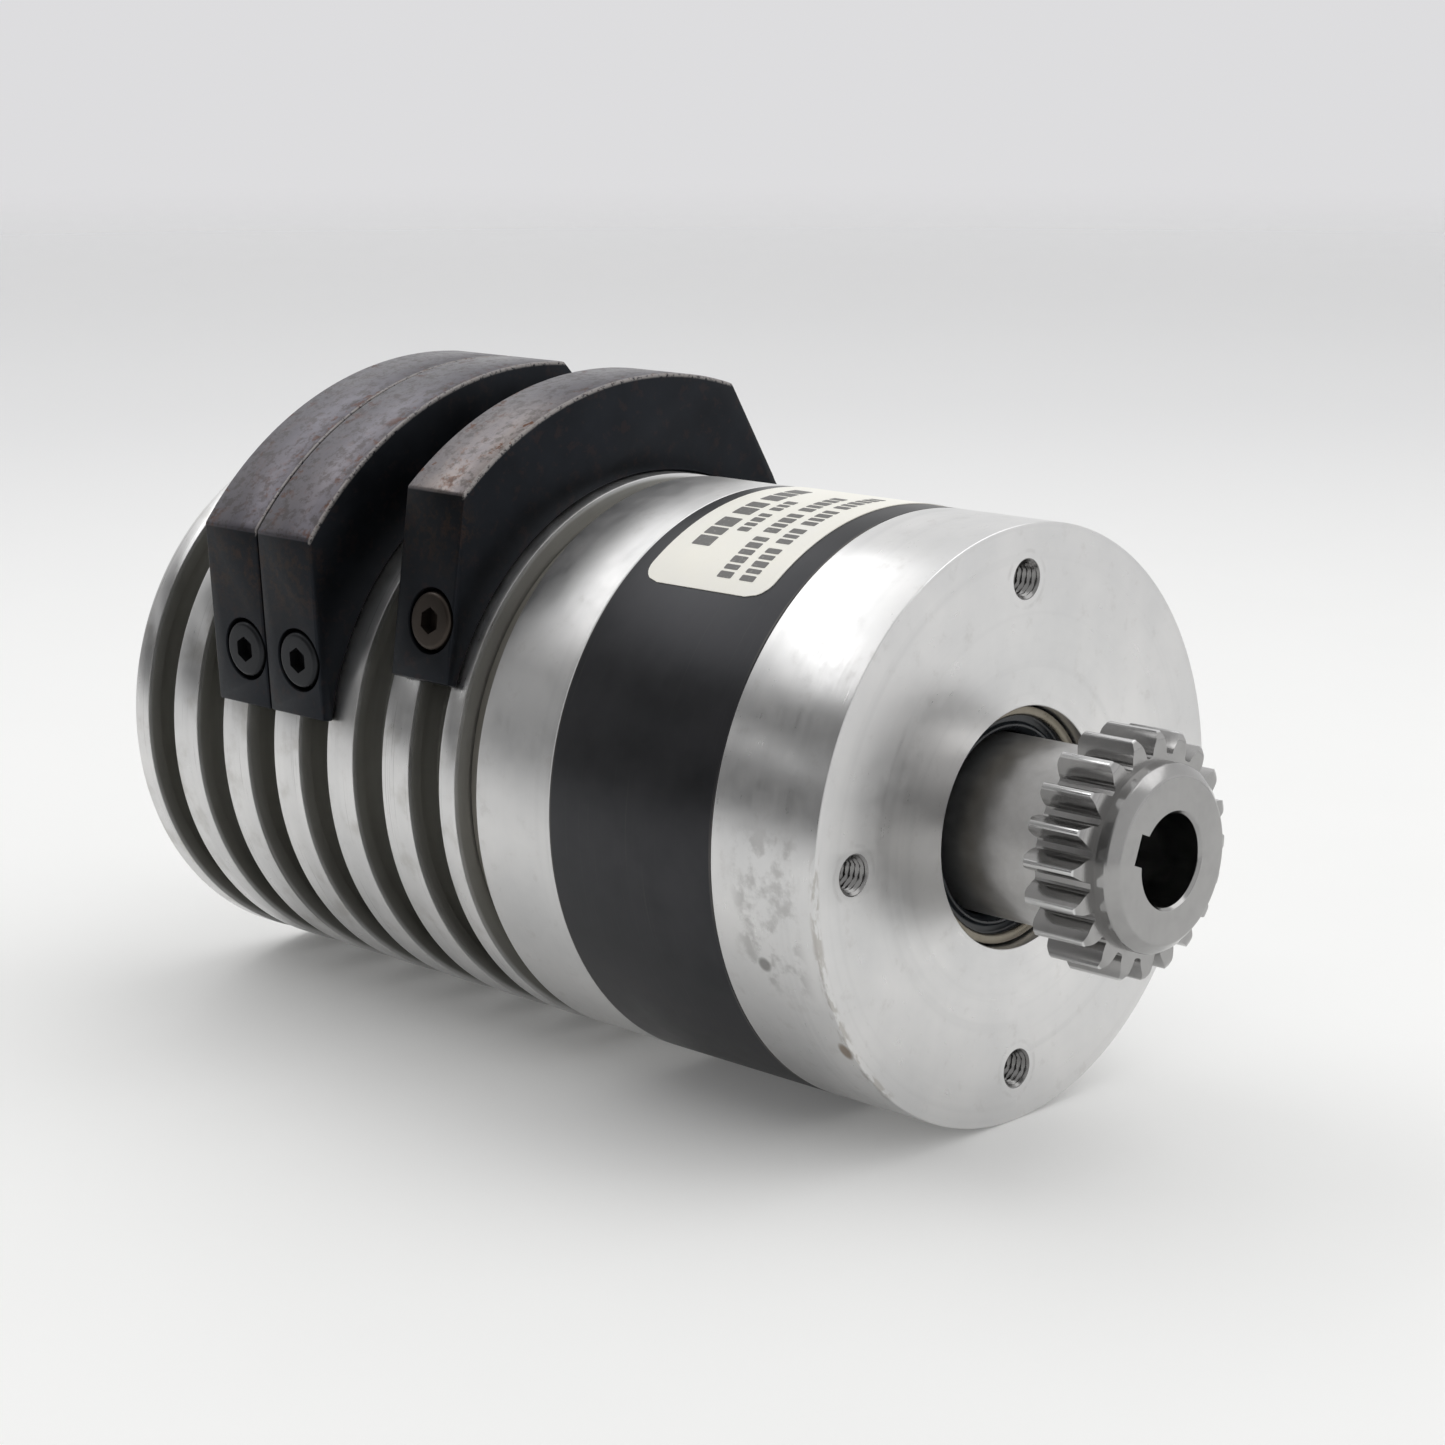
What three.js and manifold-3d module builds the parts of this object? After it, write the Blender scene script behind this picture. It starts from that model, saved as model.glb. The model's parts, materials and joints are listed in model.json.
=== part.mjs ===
// A planetary gearbox with a built-on cam drum, in millimetres.
// The X axis is the shaft axis: x = 0 is the front mounting face, the drive pinion stands in front of
// it (+X) and the gear case and the cam drum lie behind it (-X). +Z is up.
// Angles about the axis are in degrees from +Y towards +Z.

import * as THREE from 'three';
import { mergeVertices } from 'three/addons/utils/BufferGeometryUtils.js';
import Module from 'manifold-3d';

const wasm = await Module();
wasm.setup();

// ---------- driving dimensions ----------

const CASE_RADIUS = 50;
const GAP = 0.3;                 // clearance left between neighbouring pieces
const OVERCUT = 1;               // how far a cutter reaches past the face it cuts
const UP = 90;

// lengths along the axis, measured back from the front face
const FRONT_HOUSING_LENGTH = 22;
const RING_GEAR_LENGTH = 37;
const REAR_HOUSING_LENGTH = 18;
const NECK_LENGTH = 5.2;
const NECK_RADIUS = 46.5;
const CASE_CHAMFER = 0.5;
const RING_GEAR_X = -FRONT_HOUSING_LENGTH;
const REAR_HOUSING_X = RING_GEAR_X - RING_GEAR_LENGTH;
const NECK_X = REAR_HOUSING_X - REAR_HOUSING_LENGTH;
const NECK_END_X = NECK_X - NECK_LENGTH;

// fasteners: shank radius, head radius, head height, and the socket's radius across its corners
const M3 = { shank: 1.5, head: 2.75, height: 3, socket: 1.44 };
const M4 = { shank: 2, head: 3.5, height: 4, socket: 1.73 };
const M5 = { shank: 2.5, head: 4.25, height: 5, socket: 2.31 };
const M6_LOW_HEAD = { shank: 2.9, head: 5, height: 4, socket: 2.31 };
const CLEARANCE = GAP;           // added to a shank's or head's radius by its hole

// front mounting holes, tapped M6
const MOUNT_HOLE_CIRCLE = 41;
const MOUNT_HOLE_RADIUS = 2.65;
const MOUNT_HOLE_CHAMFER = 0.5;
const MOUNT_HOLE_DEPTH = 16;
const MOUNT_HOLE_POINT = 1.5;
const MOUNT_HOLE_ANGLES = [0, 90, 180, 270];

// long screws that hold the three case rings together
const CASE_SCREW_CIRCLE = 41.5;
const CASE_SCREW_ANGLES = [45, 135, 225, 315];
const CASE_SCREW_LENGTH = 60;
const CASE_SCREW_HEAD_X = -71.5;
const CASE_SCREW_TIP_ROOM = 0.5;

// gear train: fixed ring, three planets, sun on the input shaft
const GEAR_MODULE = 1.5;
const RING_TEETH = 48;
const SUN_TEETH = 18;
const PLANET_TEETH = 15;
const PLANET_ANGLES = [90, 210, 330];
const PLANET_CIRCLE = GEAR_MODULE * (SUN_TEETH + PLANET_TEETH) / 2;
const PRESSURE_ANGLE = THREE.MathUtils.degToRad(20);
const DEDENDUM = 1.25;           // depth of a tooth below the pitch circle, in modules
const TOOTH_THINNING = 0.15;
const RING_SPACE_WIDENING = 0.35;
const PLANET_X = -32;
const PLANET_WIDTH = 16;
const PIN = { radius: 5, front: -28.6, length: 28.4, holeDepth: 8.5 };
const BUSH = { outer: 6.5, reach: 0.6 };
const PLANET_BORE_RADIUS = 6.9;

// input shaft with the drive pinion
const PINION = { module: 1.75, teeth: 20, shift: 0.5, tip: 20.12, front: 26.4, width: 10.8 };
const PINION_TOOTH_ANGLE = 105;
const PINION_TOOTH_CHAMFER = 0.8;
const PINION_HUB = { radius: 15.25, faceRadius: 13.5, chamferLength: 1.6 };
const SHAFT_RADIUS = 15;
const SHAFT_FACE_X = 30;
const SHAFT_END_X = -24.5;
const BORE_RADIUS = 7.5;
const BORE_END_X = -12;
const KEYWAY_ANGLE = 159;
const KEYWAY_WIDTH = 5;
const KEYWAY_HEIGHT = 9.6;       // from the shaft axis to the bottom of the keyway
const KEYWAY_END_X = -10;
const STUB_RADIUS = 7;
const STUB_END_X = -51;
const SUN_X = -31.1;
const SUN_WIDTH = 16.9;
const SUN_SHOULDER_RADIUS = 10;
const SUN_KEY = { length: 14, bottom: 4.3, top: 9.2 };

// output side: the carrier with its hub and the spigot that centres the drum
const HUB_RADIUS = 25;
const HUB_SHOULDER_RADIUS = 27.5;
const CARRIER_RADIUS = 33;
const CARRIER_X = -49;
const CARRIER_THICKNESS = 9;
const CARRIER_HOLLOW = { radius: 12, depth: 5 };
const SPIGOT_RADIUS = 15;
const SPIGOT_LENGTH = 10;

// seals and bearings in the case
const SEAL_RECESS_DEPTH = 10.8;
const FRONT_SHOULDER_RADIUS = 18.6;
const REAR_SHOULDER_RADIUS = 34.3;
const INPUT_SEAL = { front: -3.6, width: 7, outer: 19.8, shaft: SHAFT_RADIUS };
const OUTPUT_SEAL = { front: -74.1, width: 8, outer: 35.9, shaft: HUB_RADIUS };
const RETAINING_RING = { front: -2.4, width: 0.9, outer: 19.7, inner: 18.1 };
const INPUT_BEARING = { front: -12.7, width: 9, outer: 23.5, outerBore: 21.2, innerRim: 17.3, ball: 1.6 };
const OUTPUT_BEARING = { front: -61.7, width: 12, outer: 35.9, outerBore: 33, innerRim: 28, ball: 2.1 };
const BALL_COUNT = 7;
const CAGE_HALF_THICKNESS = 0.5;
const CAGE_HALF_WIDTH = 0.45;    // in ball radii

// circlips: front face, thickness and outer radius
const SHAFT_CIRCLIP = { front: -22.2, width: 1.2, outer: 17.3 };
const SUN_CIRCLIP = { front: -48.3, width: 1, outer: 9 };
const PIN_CIRCLIP = { front: -29.9, width: 1, outer: 7 };

// cam drum with six T-slots
const DRUM_X = NECK_END_X - GAP;
const DRUM_LENGTH = 91;
const DRUM_END_X = DRUM_X - DRUM_LENGTH;
const DRUM_BORE_RADIUS = 33;
const DRUM_WEB = 12;
const DRUM_RIM = 4;
const SLOT_COUNT = 6;
const SLOT_PITCH = 15;
const SLOT_WIDTH = 8;
const SLOT_LIP = 3;
const SLOT_DEPTH = 8;
const SLOT_INNER_WIDTH = 11;
const SLOT_ROOM = 0.4;           // room round a T-nut or a cam's tongue, across the slot's depth
const FIRST_SLOT_X = DRUM_X - DRUM_RIM;
const DRUM_SCREW_CIRCLE = 20;
const DRUM_SCREW_ANGLES = [45, 135, 225, 315];
const DRUM_SCREW_LENGTH = 20;
const DRUM_SCREW_HOLE_DEPTH = 9.5;
const COVER_RADIUS = 39.5;
const COVER_THICKNESS = 4;
const COVER_RECESS = 7;
const COVER_SCREW_CIRCLE = 36;
const COVER_SCREW_ANGLES = [90, 210, 330];
const COVER_SCREW_LENGTH = 10;
const COVER_SCREW_HOLE_DEPTH = 8;

// cams: slot number counted from the case, and the angle of the cam's middle from straight up
const CAMS = [
  { name: 'cam_1', slot: 3, angle: 23.5 },
  { name: 'cam_2', slot: 2, angle: 23.5 },
  { name: 'cam_3', slot: 0, angle: 11.8 },
];
const CAM_WIDTH = 14.7;
const CAM_OVERHANG = 1.7;        // how far a cam reaches in front of its slot
const CAM_RADIUS = 67.5;
const CAM_ARC_HALF = 29.4;
const CAM_FOOT_HALF = 57.3;
const CAM_FOOT_RADIUS = 52.5;
const CAM_TONGUE_WIDTH = 7.5;
const CAM_SCREW_FROM_FOOT = 10.3;
const CAM_SCREW_LENGTH = 9.2;
const CAM_COUNTERBORE = 3.7;
const CAM_COUNTERBORE_RADIUS = 5.6;
const CAM_HOLE_LENGTH = 12;      // below the counterbore, through the cam and its tongue
const CAM_NUT_HOLE_DEPTH = 22;   // below the flat, through the T-nut
const CAM_NUT_HALF = 8.5;
const CAM_NUT_CENTRE = 40.6;

// label on the ring gear
const LABEL_FRONT_X = -27.7;
const LABEL_LENGTH = 27.8;
const LABEL_FROM = 40;
const LABEL_TO = 130;

// facets on round pieces
const CASE_FACETS = 32;
const RING_FACETS = 24;
const SHAFT_FACETS = 28;
const BORE_FACETS = 24;
const HOLE_FACETS = 12;
const CIRCLIP_FACETS = 16;
const SCREW_FACETS = 8;
const CAM_SCREW_FACETS = 12;
const CAGE_FACETS = 14;
const BALL_FACETS = 6;
const CAM_ARC_STEPS = 10;
const CAM_INNER_STEPS = 16;
const NUT_STEPS = 4;
const LABEL_STEPS = 14;

// ---------- materials ----------

const FINISHES = {
  turned_aluminium: { color: 0xb9bbbc, roughness: 0.35, metalness: 1 },
  black_ring_steel: { color: 0x141416, roughness: 0.45, metalness: 0.3 },
  black_steel: { color: 0x1b1a1a, roughness: 0.5, metalness: 0.7 },
  bright_steel: { color: 0x9a9a98, roughness: 0.32, metalness: 1 },
  bearing_steel: { color: 0xb4b6b8, roughness: 0.2, metalness: 1 },
  bronze: { color: 0xa47b45, roughness: 0.4, metalness: 1 },
  seal_rubber: { color: 0x121212, roughness: 0.7, metalness: 0 },
  label_film: { color: 0xd9d6c4, roughness: 0.45, metalness: 0 },
};

// ---------- solids ----------

const radians = THREE.MathUtils.degToRad;

// LatheGeometry turns about Y and ExtrudeGeometry runs along Z; both are swung onto the shaft axis.
const LATHE_TO_X = new THREE.Matrix4().makeRotationZ(-Math.PI / 2);
const EXTRUDE_TO_X = new THREE.Matrix4().set(0, 0, 1, 0, 1, 0, 0, 0, 0, 1, 0, 0, 0, 0, 0, 1);

function solid(geometry) {
  const bare = geometry.clone();
  bare.deleteAttribute('normal');
  bare.deleteAttribute('uv');
  const merged = mergeVertices(bare, 1e-4);
  const triangles = [];
  for (let i = 0; i < merged.index.count; i += 3) {
    const [a, b, c] = [0, 1, 2].map((k) => merged.index.getX(i + k));
    if (a !== b && b !== c && c !== a) triangles.push(a, b, c);
  }
  return new wasm.Manifold(new wasm.Mesh({
    numProp: 3,
    vertProperties: new Float32Array(merged.attributes.position.array),
    triVerts: new Uint32Array(triangles),
  }));
}

function geometryOf(body) {
  const mesh = body.getMesh();
  const geometry = new THREE.BufferGeometry();
  geometry.setAttribute('position', new THREE.BufferAttribute(new Float32Array(mesh.vertProperties), 3));
  geometry.setIndex(new THREE.BufferAttribute(new Uint32Array(mesh.triVerts), 1));
  geometry.computeVertexNormals();
  return geometry;
}

// A body of revolution about the shaft axis from [x, radius] points, listed with x falling on the
// outside; a profile that does not touch the axis closes on itself.
function turned(profile, facets) {
  const points = profile.map(([x, r]) => new THREE.Vector2(r, x)).reverse();
  if (Math.min(...profile.map(([, r]) => r)) > 0) points.push(points[0].clone());
  return solid(new THREE.LatheGeometry(points, facets).applyMatrix4(LATHE_TO_X));
}

function tube(xFront, length, outer, inner, facets) {
  const xBack = xFront - length;
  return turned([[xFront, inner], [xFront, outer], [xBack, outer], [xBack, inner]], facets);
}

function rod(xFront, length, radius, facets) {
  return turned([[xFront, 0], [xFront, radius], [xFront - length, radius], [xFront - length, 0]], facets);
}

// A flat outline in the (y, z) plane carried back from xFront along the axis.
function extruded(points, xFront, length, hole) {
  const shape = new THREE.Shape(points);
  if (hole) shape.holes.push(new THREE.Path(hole));
  const geometry = new THREE.ExtrudeGeometry(shape, { depth: length, bevelEnabled: false });
  geometry.applyMatrix4(EXTRUDE_TO_X);
  geometry.translate(xFront - length, 0, 0);
  return solid(geometry);
}

function polar(radius, degrees) {
  return new THREE.Vector2(radius * Math.cos(radians(degrees)), radius * Math.sin(radians(degrees)));
}

function arc(radius, from, to, steps) {
  return Array.from({ length: steps + 1 }, (_, i) => polar(radius, from + (to - from) * i / steps));
}

// The same solid moved to a place off the axis.
function movedTo(body, radius, degrees) {
  const place = polar(radius, degrees);
  return body.translate([0, place.x, place.y]);
}

function drilled(body, drill, radius, angles) {
  return angles.reduce((rest, angle) => rest.subtract(movedTo(drill, radius, angle)), body);
}

function circle(radius, facets) {
  return arc(radius, 0, 360, facets).slice(0, facets);
}

// A socket-head screw along the axis: the head's underside is at x = 0 and the shank runs to +X.
function capScrew(size, length, facets = SCREW_FACETS) {
  const chamfer = size.head * 0.12;
  const blank = turned([
    [length, 0], [length, size.shank], [0, size.shank], [0, size.head],
    [-size.height + chamfer, size.head], [-size.height, size.head - chamfer], [-size.height, 0],
  ], facets);
  const socket = rod(-size.height / 2, size.height, size.socket, 6);
  return blank.subtract(socket);
}

// ---------- gear teeth ----------

const involute = (angle) => Math.tan(angle) - angle;

// Outline of an external gear; a gear's internal teeth are the same outline cut out of a ring.
function gearOutline({ module, teeth, shift = 0, root, tip, widening, phase }) {
  const pitchRadius = module * teeth / 2;
  const baseRadius = pitchRadius * Math.cos(PRESSURE_ANGLE);
  const thickness = module * (Math.PI / 2 + 2 * shift * Math.tan(PRESSURE_ANGLE)) + widening;
  const halfAngle = (r) => {
    const flankAngle = Math.acos(baseRadius / Math.max(r, baseRadius));
    const half = thickness / (2 * pitchRadius) + involute(PRESSURE_ANGLE) - involute(flankAngle);
    return THREE.MathUtils.radToDeg(half);
  };
  const radii = [root, (Math.max(root, baseRadius) + tip) / 2, tip];
  const points = [];
  for (let i = 0; i < teeth; i += 1) {
    const centre = phase + 360 * i / teeth;
    radii.forEach((r) => points.push(polar(r, centre - halfAngle(r))));
    radii.toReversed().forEach((r) => points.push(polar(r, centre + halfAngle(r))));
  }
  return points;
}

// Sizes of a gear without shift; phase is the angle of its first tooth.
function standardGear(teeth, widening, phase = UP) {
  const pitchRadius = GEAR_MODULE * teeth / 2;
  const root = pitchRadius - DEDENDUM * GEAR_MODULE;
  return { module: GEAR_MODULE, teeth, root, tip: pitchRadius + GEAR_MODULE, widening, phase };
}

// ---------- case ----------

function frontHousing() {
  const bearingBore = INPUT_BEARING.outer + GAP;
  const bearingStop = INPUT_BEARING.front + GAP;
  const sealBore = INPUT_SEAL.outer + GAP;
  const blank = turned([
    [0, sealBore], [0, CASE_RADIUS - CASE_CHAMFER], [-CASE_CHAMFER, CASE_RADIUS],
    [RING_GEAR_X, CASE_RADIUS], [RING_GEAR_X, bearingBore], [bearingStop, bearingBore],
    [bearingStop, FRONT_SHOULDER_RADIUS], [-SEAL_RECESS_DEPTH, FRONT_SHOULDER_RADIUS],
    [-SEAL_RECESS_DEPTH, sealBore],
  ], CASE_FACETS);
  const mouth = MOUNT_HOLE_RADIUS + MOUNT_HOLE_CHAMFER + OVERCUT;
  const tappedHole = turned([
    [OVERCUT, 0], [OVERCUT, mouth], [-MOUNT_HOLE_CHAMFER, MOUNT_HOLE_RADIUS],
    [-MOUNT_HOLE_DEPTH, MOUNT_HOLE_RADIUS], [-MOUNT_HOLE_DEPTH - MOUNT_HOLE_POINT, 0],
  ], HOLE_FACETS);
  const screwHoleTop = CASE_SCREW_HEAD_X + CASE_SCREW_LENGTH + CASE_SCREW_TIP_ROOM;
  const screwHoleDepth = screwHoleTop - RING_GEAR_X;
  const screwHole = rod(screwHoleTop, screwHoleDepth + OVERCUT, M4.shank + CLEARANCE, HOLE_FACETS);
  const mounted = drilled(blank, tappedHole, MOUNT_HOLE_CIRCLE, MOUNT_HOLE_ANGLES);
  return drilled(mounted, screwHole, CASE_SCREW_CIRCLE, CASE_SCREW_ANGLES);
}

function ringGear() {
  const pitchRadius = GEAR_MODULE * RING_TEETH / 2;
  const teeth = {
    ...standardGear(RING_TEETH, RING_SPACE_WIDENING),
    root: pitchRadius - GEAR_MODULE,
    tip: pitchRadius + DEDENDUM * GEAR_MODULE,
  };
  const rim = circle(CASE_RADIUS, CASE_FACETS);
  const blank = extruded(rim, RING_GEAR_X, RING_GEAR_LENGTH, gearOutline(teeth));
  const screwHole = rod(
    RING_GEAR_X + OVERCUT, RING_GEAR_LENGTH + 2 * OVERCUT, M4.shank + CLEARANCE, HOLE_FACETS);
  return drilled(blank, screwHole, CASE_SCREW_CIRCLE, CASE_SCREW_ANGLES);
}

function rearHousing() {
  const bearingBore = OUTPUT_BEARING.outer + GAP;
  const bearingStop = OUTPUT_BEARING.front + GAP;
  const blank = turned([
    [REAR_HOUSING_X, REAR_SHOULDER_RADIUS], [REAR_HOUSING_X, CASE_RADIUS], [NECK_X, CASE_RADIUS],
    [NECK_X, NECK_RADIUS], [NECK_END_X, NECK_RADIUS], [NECK_END_X, bearingBore],
    [bearingStop, bearingBore], [bearingStop, REAR_SHOULDER_RADIUS],
  ], CASE_FACETS);
  const shank = M4.shank + CLEARANCE;
  const head = M4.head + CLEARANCE;
  const screwHole = turned([
    [REAR_HOUSING_X + OVERCUT, 0], [REAR_HOUSING_X + OVERCUT, shank], [CASE_SCREW_HEAD_X, shank],
    [CASE_SCREW_HEAD_X, head], [NECK_END_X - OVERCUT, head], [NECK_END_X - OVERCUT, 0],
  ], HOLE_FACETS);
  return drilled(blank, screwHole, CASE_SCREW_CIRCLE, CASE_SCREW_ANGLES);
}

// Rubber lip seal: a flat outer part with a thin lip that runs on the shaft.
function shaftSeal({ front, width, outer, shaft }) {
  const lip = shaft + GAP;
  const opening = lip + 1.2;
  const pocket = lip + 1.4;
  return turned([
    [front, opening], [front, outer], [front - width, outer], [front - width, pocket],
    [front - 3, pocket], [front - 2.2, lip], [front - 1.4, lip],
  ], RING_FACETS);
}

function retainingRing() {
  const { front, width, outer, inner } = RETAINING_RING;
  return tube(front, width, outer, inner, RING_FACETS);
}

// The balls of a bearing in their cage, joined as one piece.
function ballCage({ front, width, outerBore, innerRim, ball }) {
  const middle = front - width / 2;
  const track = (outerBore + innerRim) / 2;
  const half = ball * CAGE_HALF_WIDTH;
  const outer = track + CAGE_HALF_THICKNESS;
  const cage = tube(middle + half, 2 * half, outer, track - CAGE_HALF_THICKNESS, CAGE_FACETS);
  const globe = new THREE.SphereGeometry(ball, BALL_FACETS, BALL_FACETS - 2);
  const sphere = solid(globe).translate([middle, 0, 0]);
  return Array.from({ length: BALL_COUNT }, (_, i) => movedTo(sphere, track, 360 * i / BALL_COUNT))
    .reduce((whole, next) => whole.add(next), cage);
}

function labelPlate() {
  const inner = CASE_RADIUS + GAP;
  const outer = inner + GAP;
  const outside = arc(outer, LABEL_FROM, LABEL_TO, LABEL_STEPS);
  const inside = arc(inner, LABEL_TO, LABEL_FROM, LABEL_STEPS);
  return extruded([...outside, ...inside], LABEL_FRONT_X, LABEL_LENGTH);
}

// ---------- input shaft ----------

// Shaft with the drive pinion cut on its front end and a keyed blind bore for the motor shaft.
function pinionShaft() {
  const pitchRadius = PINION.module * PINION.teeth / 2;
  const root = pitchRadius + PINION.module * (PINION.shift - DEDENDUM);
  const rear = PINION.front - PINION.width;
  const core = root - 0.1;
  const step = 0.2;
  const sunStop = SUN_X + GAP;
  const body = turned([
    [SHAFT_FACE_X, 0], [SHAFT_FACE_X, PINION_HUB.faceRadius],
    [SHAFT_FACE_X - PINION_HUB.chamferLength, PINION_HUB.radius], [PINION.front - step, PINION_HUB.radius],
    [PINION.front - step, core], [rear + step, core],
    [rear + step, SHAFT_RADIUS], [SHAFT_END_X, SHAFT_RADIUS],
    [SHAFT_END_X, SUN_SHOULDER_RADIUS], [sunStop, SUN_SHOULDER_RADIUS], [sunStop, STUB_RADIUS],
    [STUB_END_X, STUB_RADIUS], [STUB_END_X, 0],
  ], SHAFT_FACETS);
  const outline = gearOutline({ ...PINION, root, widening: -TOOTH_THINNING, phase: PINION_TOOTH_ANGLE });
  const blank = extruded(outline, PINION.front, PINION.width);
  const endRadius = PINION.tip - PINION_TOOTH_CHAMFER;
  const fullRadius = PINION.tip + step;
  const chamfered = turned([
    [PINION.front, 0], [PINION.front, endRadius], [PINION.front - PINION_TOOTH_CHAMFER, fullRadius],
    [rear + PINION_TOOTH_CHAMFER, fullRadius], [rear, endRadius], [rear, 0],
  ], SHAFT_FACETS);
  const cutFrom = SHAFT_FACE_X + OVERCUT;
  const bore = rod(cutFrom, cutFrom - BORE_END_X, BORE_RADIUS, BORE_FACETS);
  const keywayLength = cutFrom - KEYWAY_END_X;
  const keyway = solid(new THREE.BoxGeometry(keywayLength, KEYWAY_HEIGHT, KEYWAY_WIDTH)
    .translate(cutFrom - keywayLength / 2, KEYWAY_HEIGHT / 2, 0)
    .rotateX(radians(KEYWAY_ANGLE)));
  const seatLength = SUN_KEY.length + 2 * GAP;
  const keySeat = keyBlock(seatLength, KEYWAY_WIDTH + 2 * GAP, SUN_KEY.bottom - GAP, SUN_KEY.top);
  return body.add(blank.intersect(chamfered)).subtract(bore).subtract(keyway).subtract(keySeat);
}

// A block along the top of the sun gear's seat, between two heights above the axis.
function keyBlock(length, width, bottom, top) {
  const block = new THREE.BoxGeometry(length, width, top - bottom);
  return solid(block.translate(SUN_X - SUN_WIDTH / 2, 0, (top + bottom) / 2));
}

function sunGear() {
  const keyway = keyBlock(SUN_WIDTH + 2, KEYWAY_WIDTH + 2 * GAP, SUN_KEY.bottom, SUN_KEY.top + GAP);
  const bore = circle(STUB_RADIUS + GAP, CIRCLIP_FACETS);
  const blank = extruded(gearOutline(standardGear(SUN_TEETH, -TOOTH_THINNING)), SUN_X, SUN_WIDTH, bore);
  return blank.subtract(keyway);
}

function sunKey() {
  return keyBlock(SUN_KEY.length, KEYWAY_WIDTH, SUN_KEY.bottom, SUN_KEY.top);
}

function circlip({ front, width, outer }, shaft, facets) {
  return tube(front, width, outer, shaft + GAP, facets);
}

// ---------- planets and carrier ----------
// Each piece of a planet is made on the +Y side of the axis and then turned to its planet's place.

function planetGear() {
  const teeth = gearOutline(standardGear(PLANET_TEETH, -TOOTH_THINNING, 0));
  const gear = extruded(teeth, PLANET_X, PLANET_WIDTH, circle(PLANET_BORE_RADIUS, HOLE_FACETS));
  return movedTo(gear, PLANET_CIRCLE, 0);
}

function planetBush() {
  const front = PLANET_X + BUSH.reach;
  const width = PLANET_WIDTH + 2 * BUSH.reach;
  return movedTo(tube(front, width, BUSH.outer, PIN.radius + GAP, HOLE_FACETS), PLANET_CIRCLE, 0);
}

function planetPin() {
  return movedTo(rod(PIN.front, PIN.length, PIN.radius, HOLE_FACETS), PLANET_CIRCLE, 0);
}

function planetCirclip() {
  return movedTo(circlip(PIN_CIRCLIP, PIN.radius, HOLE_FACETS), PLANET_CIRCLE, 0);
}

function planetCarrier() {
  const hollowEnd = CARRIER_X - CARRIER_HOLLOW.depth;
  const plateEnd = CARRIER_X - CARRIER_THICKNESS;
  const hubStart = OUTPUT_BEARING.front + GAP;
  const spigotEnd = DRUM_X - SPIGOT_LENGTH;
  const blank = turned([
    [hollowEnd, 0], [hollowEnd, CARRIER_HOLLOW.radius], [CARRIER_X, CARRIER_HOLLOW.radius],
    [CARRIER_X, CARRIER_RADIUS], [plateEnd, CARRIER_RADIUS], [plateEnd, HUB_SHOULDER_RADIUS],
    [hubStart, HUB_SHOULDER_RADIUS], [hubStart, HUB_RADIUS], [DRUM_X, HUB_RADIUS],
    [DRUM_X, SPIGOT_RADIUS], [spigotEnd, SPIGOT_RADIUS], [spigotEnd, 0],
  ], SHAFT_FACETS);
  const pinHole = rod(CARRIER_X + OVERCUT, PIN.holeDepth + OVERCUT, PIN.radius + GAP, HOLE_FACETS);
  const tappedHole = rod(
    DRUM_X + DRUM_SCREW_HOLE_DEPTH, DRUM_SCREW_HOLE_DEPTH + OVERCUT, M5.shank + CLEARANCE, HOLE_FACETS);
  const pinned = drilled(blank, pinHole, PLANET_CIRCLE, PLANET_ANGLES);
  return drilled(pinned, tappedHole, DRUM_SCREW_CIRCLE, DRUM_SCREW_ANGLES);
}

// ---------- cam drum ----------

function camDrum() {
  const seat = DRUM_END_X + COVER_RECESS;
  const webEnd = DRUM_X - DRUM_WEB;
  const profile = [[DRUM_X, SPIGOT_RADIUS + GAP], [DRUM_X, CASE_RADIUS]];
  const lipRadius = CASE_RADIUS - SLOT_LIP;
  const floorRadius = CASE_RADIUS - SLOT_DEPTH;
  const mouth = SLOT_WIDTH / 2;
  const inside = SLOT_INNER_WIDTH / 2;
  for (let i = 0; i < SLOT_COUNT; i += 1) {
    const middle = FIRST_SLOT_X - SLOT_PITCH * i - mouth;
    profile.push([middle + mouth, CASE_RADIUS], [middle + mouth, lipRadius]);
    profile.push([middle + inside, lipRadius], [middle + inside, floorRadius]);
    profile.push([middle - inside, floorRadius], [middle - inside, lipRadius]);
    profile.push([middle - mouth, lipRadius], [middle - mouth, CASE_RADIUS]);
  }
  profile.push([DRUM_END_X, CASE_RADIUS], [DRUM_END_X, COVER_RADIUS], [seat, COVER_RADIUS]);
  profile.push([seat, DRUM_BORE_RADIUS], [webEnd, DRUM_BORE_RADIUS], [webEnd, SPIGOT_RADIUS + GAP]);
  const webHole = rod(DRUM_X + OVERCUT, DRUM_WEB + 2 * OVERCUT, M5.shank + CLEARANCE, HOLE_FACETS);
  const coverHole = rod(
    seat + COVER_SCREW_HOLE_DEPTH, COVER_SCREW_HOLE_DEPTH + OVERCUT, M3.shank + CLEARANCE, HOLE_FACETS);
  const webbed = drilled(turned(profile, CASE_FACETS), webHole, DRUM_SCREW_CIRCLE, DRUM_SCREW_ANGLES);
  return drilled(webbed, coverHole, COVER_SCREW_CIRCLE, COVER_SCREW_ANGLES);
}

function drumEndCover() {
  const front = DRUM_END_X + COVER_RECESS;
  const disc = rod(front, COVER_THICKNESS, COVER_RADIUS - GAP, CASE_FACETS);
  const hole = rod(front + OVERCUT, COVER_THICKNESS + 2 * OVERCUT, M3.shank + CLEARANCE, HOLE_FACETS);
  return drilled(disc, hole, COVER_SCREW_CIRCLE, COVER_SCREW_ANGLES);
}

// ---------- cams ----------
// A cam is drawn with its middle straight up and its front face at x = 0.

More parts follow.
